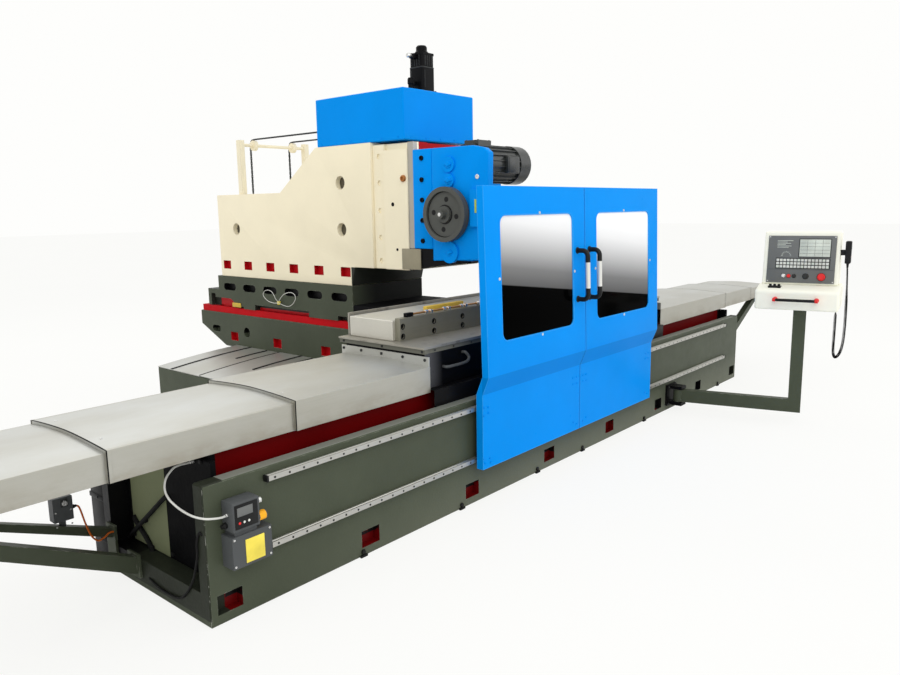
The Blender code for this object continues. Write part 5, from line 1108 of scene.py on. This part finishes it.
def add_cross_slide():
    fit = Mould()
    for y, z, radius, rise, material in COLUMN_MARKS:
        fit.knob(stand((-0.405, y, z), LEFT), ((radius, -0.002), (radius, rise * 0.6), (radius * 0.8, rise),
                 (radius * 0.5, rise), (radius * 0.45, rise * 0.5)), material, 20)
    for side in (-1, 1):
        for index in range(6):
            fit.screw((side * 0.395, 0.86 + 0.166 * index, 2.18), (side, 0, 0), 0.0065, 0.003, 3, 12)
        for index in range(5):
            spot = (-0.32 + 0.16 * index, 0.8 if side < 0 else 1.75, 2.18)
            fit.screw(spot, (0, side, 0), 0.0065, 0.003, 3, 12)
    fit.settle("column_fittings", "saddle", [SIGHT_BROWN, BLACK_PAINT, DARK_GREY, BLUE])
    add_servo()
    for index, points in enumerate(SADDLE_LOOPS):
        hang("saddle_line_%d" % (index + 1), points, 0.0028, WHITE_HOSE, body="saddle")
    clip = Mould()
    clip.block((-0.418, 2.31, 0.872), (-0.4045, 2.346, 0.9), 0, 0.003)
    clip.screw((-0.418, 2.328, 0.886), LEFT, 0.006, 0.004, 1, 12)
    clip.block((-0.4125, 2.9, 0.802), (-0.404, 3.03, 0.842), 2, 0.003)
    clip.settle("saddle_line_fittings", "saddle", [YELLOW, CHROME, OCHRE])
    add_chains()


def add_head():
    fit = Mould()
    for z in (2.02, 1.872, 1.732, 1.59, 1.446):
        for side in (-1, 1):
            fit.screw((side * 0.405, 0.627, z), (side, 0, 0), 0.017, 0.012, 0, 20)
    fit.screw((-0.4055, 0.131, 1.875), LEFT, 0.016, 0.006, 1, 24)
    fit.block((-0.4335, 0.122, 1.64), (-0.4295, 0.137, 1.728), 2, 0.001)
    fit.block((-0.4155, 0.645, 1.24), (-0.4062, 0.83, 1.388), 3, 0.0015)
    for z in (1.965, 1.858, 1.372):
        fit.knob(stand((-0.419, WHEEL_Y, z), LEFT), ((0.026, -0.001), (0.026, 0.003), (0.024, 0.004)), 4, 24)
        fit.screw((-0.4225, WHEEL_Y, z), LEFT, 0.016, 0.007, 4, 6, False)
        fit.block((-0.4275, WHEEL_Y - 0.03, z - 0.005), (-0.4185, WHEEL_Y + 0.03, z + 0.005), 4, 0.002)
    fit.settle("head_fittings", "head", [BLACK_PAINT, CHROME, SIGHT_GREEN, GUARD_STEEL, BLUE])
    hub = Mould()
    # Painted shade: black discs in the wheel's holes
    for step in range(4):
        angle = math.radians(WHEEL_HOLE_TURN + 90 * step)
        y, z = WHEEL_Y + 0.102 * math.cos(angle), WHEEL_Z + 0.102 * math.sin(angle)
        hub.knob(stand((-0.4575, y, z), LEFT), ((0.0175, 0), (0.0175, 0.001), (0.0155, 0.0014)), 0, 24)
    # Painted shadow: thin black rings at the walls of the wheel's recess; the hub cap is chrome
    centre = stand((-0.4572, WHEEL_Y, WHEEL_Z), LEFT)
    hub.washer(centre, 0.1495, 0.1545, 0.0012, 0, 56)
    hub.washer(centre, 0.058, 0.066, 0.0012, 0, 40)
    hub.knob(stand((-0.515, WHEEL_Y, WHEEL_Z), LEFT), ((0.013, 0), (0.013, 0.0022), (0.01, 0.0035)), 1, 20)
    hub.settle("flywheel_shade_and_cap", "wheel", [BLACK_PLASTIC, CHROME], "grey")


def add_motor():
    fan = Mould()
    axis_y, axis_z = MOTOR_AXIS
    for index in range(24):
        angle = math.radians(15 * index)
        spot = (0.2095, axis_y + 0.085 * math.cos(angle), axis_z + 0.085 * math.sin(angle))
        place = Matrix.Translation(spot) @ Matrix.Rotation(angle, 4, "X")
        fan.block((-0.001, -0.03, -0.0035), (0.0012, 0.03, 0.0035), 0, 0.0006, place)
    fan.knob(stand((0.2095, axis_y, axis_z), RIGHT), ((0.045, 0), (0.045, 0.001), (0.04, 0.0025)), 1, 28)
    fan.block((-0.085, 0.112, 1.905), (0.05, 0.16, 2.02), 2, 0.005)
    fan.block((-0.075, 0.108, 1.915), (0.04, 0.114, 2.01), 2, 0.003)
    for turn in (math.radians(angle) for angle in (45, 135, 225, 315)):
        spot = (-0.325, axis_y + 0.127 * math.cos(turn), axis_z + 0.127 * math.sin(turn))
        fan.screw(spot, RIGHT, 0.007, 0.007, 1, 6, False)
    for x in (-0.295, -0.175):
        for y in (0.21, 0.31):
            fan.screw((x, y, 2.123), UP, 0.0055, 0.0035, 1, 12)
    fan.settle("motor_fittings", "head", [BLACK_PLASTIC, GREY_PAINT, MOTOR_GREY], "grey")


def add_panel():
    """Console front: screen with its grid, marks, keys and knobs, all bare of words."""
    rise = Vector((CABINET_HEAD[0] - CABINET_FOOT[0], 0, CABINET_HEAD[1] - CABINET_FOOT[1])).normalized()
    face = Matrix((Vector(FRONT), rise, Vector((-rise.z, 0, rise.x)))).transposed().to_4x4()
    face = CONSOLE_FRAME @ Matrix.Translation((CABINET_FOOT[0], CONSOLE_Y, CABINET_FOOT[1])) @ face
    panel = Mould()

    def field(x0, x1, z0, z1, low, high, material, edge):
        panel.block((x0, z0, low), (x1, z1, high), material, edge, face)

    def spot(x, z, height):
        return face @ Matrix.Translation((x, z, height))

    field(-0.235, 0.235, 0.014, 0.3697, 0.0005, 0.008, 0, 0.002)
    field(-0.02, 0.201, 0.207, 0.348, 0.0075, 0.0095, 1, 0.0008)
    field(-0.014, 0.195, 0.213, 0.342, 0.009, 0.0105, 2, 0.0005)
    for x in (0.038, 0.091, 0.143):
        field(x, x + SCREEN_LINE, 0.216, 0.339, 0.0103, 0.0109, 3, 0.0002)
    for z in (0.236, 0.262, 0.288, 0.314):
        field(-0.011, 0.192, z, z + SCREEN_LINE, 0.0103, 0.0109, 3, 0.0002)
    for index, width in enumerate((0.11, 0.07, 0.095, 0.06, 0.1, 0.08)):
        z = 0.33 - 0.01 * index
        field(-0.172, -0.172 + width, z, z + 0.0035, 0.0075, 0.0087, 2, 0.0003)
    for step in range(11):
        angle = math.radians(18 * step)
        tick = spot(-0.105 + 0.03 * math.cos(angle), 0.218 + 0.03 * math.sin(angle), 0.0075)
        panel.block((-0.005, -0.0012, 0), (0.005, 0.0012, 0.0012), 2, 0.0003,
                    tick @ Matrix.Rotation(angle, 4, "Z"))
    field(-0.176, 0.201, 0.12, 0.202, 0.0075, 0.009, 1, 0.0008)
    for row in range(3):
        for column in range(15):
            x, z = -0.1705 + KEY_PITCH * column, 0.1265 + KEY_PITCH * row
            tone = 4 if (row * 5 + column * 3) % 7 else 2
            field(x, x + 0.0195, z, z + 0.0185, 0.0085, 0.0112, tone, 0.0008)
    field(-0.225, 0.225, 0.1135, 0.115, 0.0078, 0.0084, 3, 0.0002)
    for x, z, radius, depth, tone in CONSOLE_KNOBS:
        panel.knob(spot(x, z, 0.0075), ((radius * 1.25, 0), (radius * 1.25, 0.003), (radius, 0.004),
                   (radius, depth * 0.8), (radius * 0.85, depth)), tone, 24)
        panel.knob(spot(x, z, 0.0075), ((radius * 1.4, 0), (radius * 1.4, 0.0015)), 3, 24)
    for x in (-0.225, 0.225):
        for z in (0.024, 0.36):
            panel.knob(spot(x, z, 0.0078), ((0.0045, 0), (0.0045, 0.0015), (0.003, 0.0022)), 6, 12)
    panel.settle("console_front", "console",
                 [PANEL_GREY, DARK_GREY, DISPLAY, BLACK_PLASTIC, KEY_WHITE, RED_PLASTIC, CHROME], "grey",
                 ("console_panel",))


def add_console():
    bar = Mould()
    for side in (-1, 1):
        bar.knob(CONSOLE_FRAME @ stand((1.4895, CONSOLE_Y + side * 0.14, GRIP_Z), LEFT),
                 ((0.017, 0), (0.017, 0.01), (0.0135, 0.014), (0.0125, 0.06), (0.01, 0.064)), 1, 20)
        bar.knob(CONSOLE_FRAME @ stand((GRIP_X, CONSOLE_Y + side * 0.133, GRIP_Z), (0, side, 0)),
                 ((0.0135, 0), (0.0135, 0.018), (0.011, 0.021)), 1, 20)
    bar.sweep([turned((GRIP_X, CONSOLE_Y + across, GRIP_Z)) for across in (-0.14, -0.05, 0.05, 0.14)],
              0.011, 0, 16)
    bar.settle("console_grip", "console", [BLACK_PLASTIC, RED_PLASTIC], "black", ("console_handle",))
    parts = Mould()
    parts.block((1.548, CONSOLE_Y + 0.115, 1.036), (1.604, CONSOLE_Y + 0.205, 1.056), 0, 0.003, CONSOLE_FRAME)
    for across in (0.13, 0.16, 0.19):
        parts.knob(CONSOLE_FRAME @ stand((1.574, CONSOLE_Y + across, 1.0555)),
                   ((0.01, 0), (0.01, 0.01), (0.007, 0.014)), 0, 14)
    parts.block((1.879, CONSOLE_Y - 0.215, 1.095), (1.8835, CONSOLE_Y + 0.215, 1.425), 1, 0.0015,
                CONSOLE_FRAME)
    for across in (-0.2, 0.2):
        for z in (1.11, 1.41):
            parts.screw(turned((1.883, CONSOLE_Y + across, z)), RIGHT, 0.006, 0.003, 2, 12)
    for z in (1.17 + 0.022 * index for index in range(7)):
        parts.block((1.883, CONSOLE_Y - 0.1, z), (1.8855, CONSOLE_Y + 0.1, z + 0.007), 0, 0.0008,
                    CONSOLE_FRAME)
    parts.knob(CONSOLE_FRAME @ stand((PENDANT_START[0], PENDANT_FRONT, 1.345), FRONT),
               ((0.026, 0), (0.026, 0.0006), (0.022, 0.0012)), 3, 28)
    for across, tone in ((-0.02, 5), (0.0, 4), (0.02, 5)):
        parts.knob(CONSOLE_FRAME @ stand((PENDANT_START[0] + across, PENDANT_FRONT, 1.275), FRONT),
                   ((0.006, 0), (0.006, 0.001)), tone, 14)
    parts.knob(CONSOLE_FRAME @ stand((*PENDANT_START[:2], 1.2255), (0, 0, -1)),
               ((0.0105, 0), (0.0085, 0.012), (0.0065, 0.034)), 0, 18)
    parts.settle("console_fittings", "console",
                 [BLACK_PLASTIC, CONSOLE_CREAM, CHROME, GREY_PAINT, RED_PLASTIC, KEY_WHITE], "black")
    feet = Mould()
    for z in (0.06, 0.2):
        for x in (1.345, 1.485):
            feet.screw((x, -0.462, z), FRONT, 0.009, 0.007, 0, 6, False)
    feet.settle("bracket_bolts", "root", [DARK_GREY], "casting")


def add_floor():
    mesh = bpy.data.meshes.new("floor")
    bm = bmesh.new()
    bmesh.ops.create_grid(bm, x_segments=1, y_segments=1, size=60.0)
    bm.to_mesh(mesh)
    bm.free()
    floor = link(bpy.data.objects.new("floor", mesh))
    floor.location = (0, 0, -0.002)
    made = Recipe("floor_pale", 0.9, specular=0.1)
    made.tone = made.ramp(made.noise(0.5, 2.0), ((0.3, (0.88, 0.88, 0.87)), (0.7, (0.91, 0.91, 0.9))))
    seen = made.math("MULTIPLY", made.node("LightPath").outputs["Is Camera Ray"], FLOOR_GLOW)
    glow = made.node("Emission", {"Color": (0.985, 0.985, 0.965, 1.0)})
    blend = made.node("MixShader", {"Fac": seen, 1: made.shader.outputs["BSDF"], 2: glow.outputs["Emission"]})
    made.tree.links.new(blend.outputs["Shader"], made.tree.nodes["Material Output"].inputs["Surface"])
    mesh.materials.append(made.done())


def add_light():
    world = bpy.data.worlds.new("studio")
    bpy.context.scene.world = world
    world.use_nodes = True
    tree = world.node_tree
    tree.nodes.clear()
    rays = add_node(tree, "LightPath").outputs
    seen = rays["Is Camera Ray"]
    for name in ("Is Glossy Ray", "Is Transmission Ray"):
        seen = add_node(tree, "Math", {0: seen, 1: rays[name]}, operation="MAXIMUM").outputs["Value"]
    soft = add_node(tree, "Background", {"Strength": SKY_SOFT, "Color": (1.0, 1.0, 1.0, 1.0)})
    white = add_node(tree, "Background", {"Strength": 1.0, "Color": (0.99, 0.99, 0.975, 1.0)})
    inputs = {"Fac": seen, 1: soft.outputs["Background"], 2: white.outputs["Background"]}
    blend = add_node(tree, "MixShader", inputs)
    add_node(tree, "OutputWorld", {"Surface": blend.outputs["Shader"]})
    for name, place, size, power in LAMPS:
        data = bpy.data.lights.new(name, "AREA")
        data.size = size
        data.energy = power
        lamp = link(bpy.data.objects.new(name, data))
        lamp.location = place
        lamp.rotation_euler = (Vector((0, 0, 0.8)) - Vector(place)).to_track_quat("-Z", "Y").to_euler()


add_camera()
add_cords()
dress()
add_doors()
add_covers()
add_bed()
add_units()
add_table()
add_cross_slide()
add_head()
add_motor()
add_panel()
add_console()
add_floor()
add_light()
bpy.context.scene.view_settings.view_transform = "Standard"
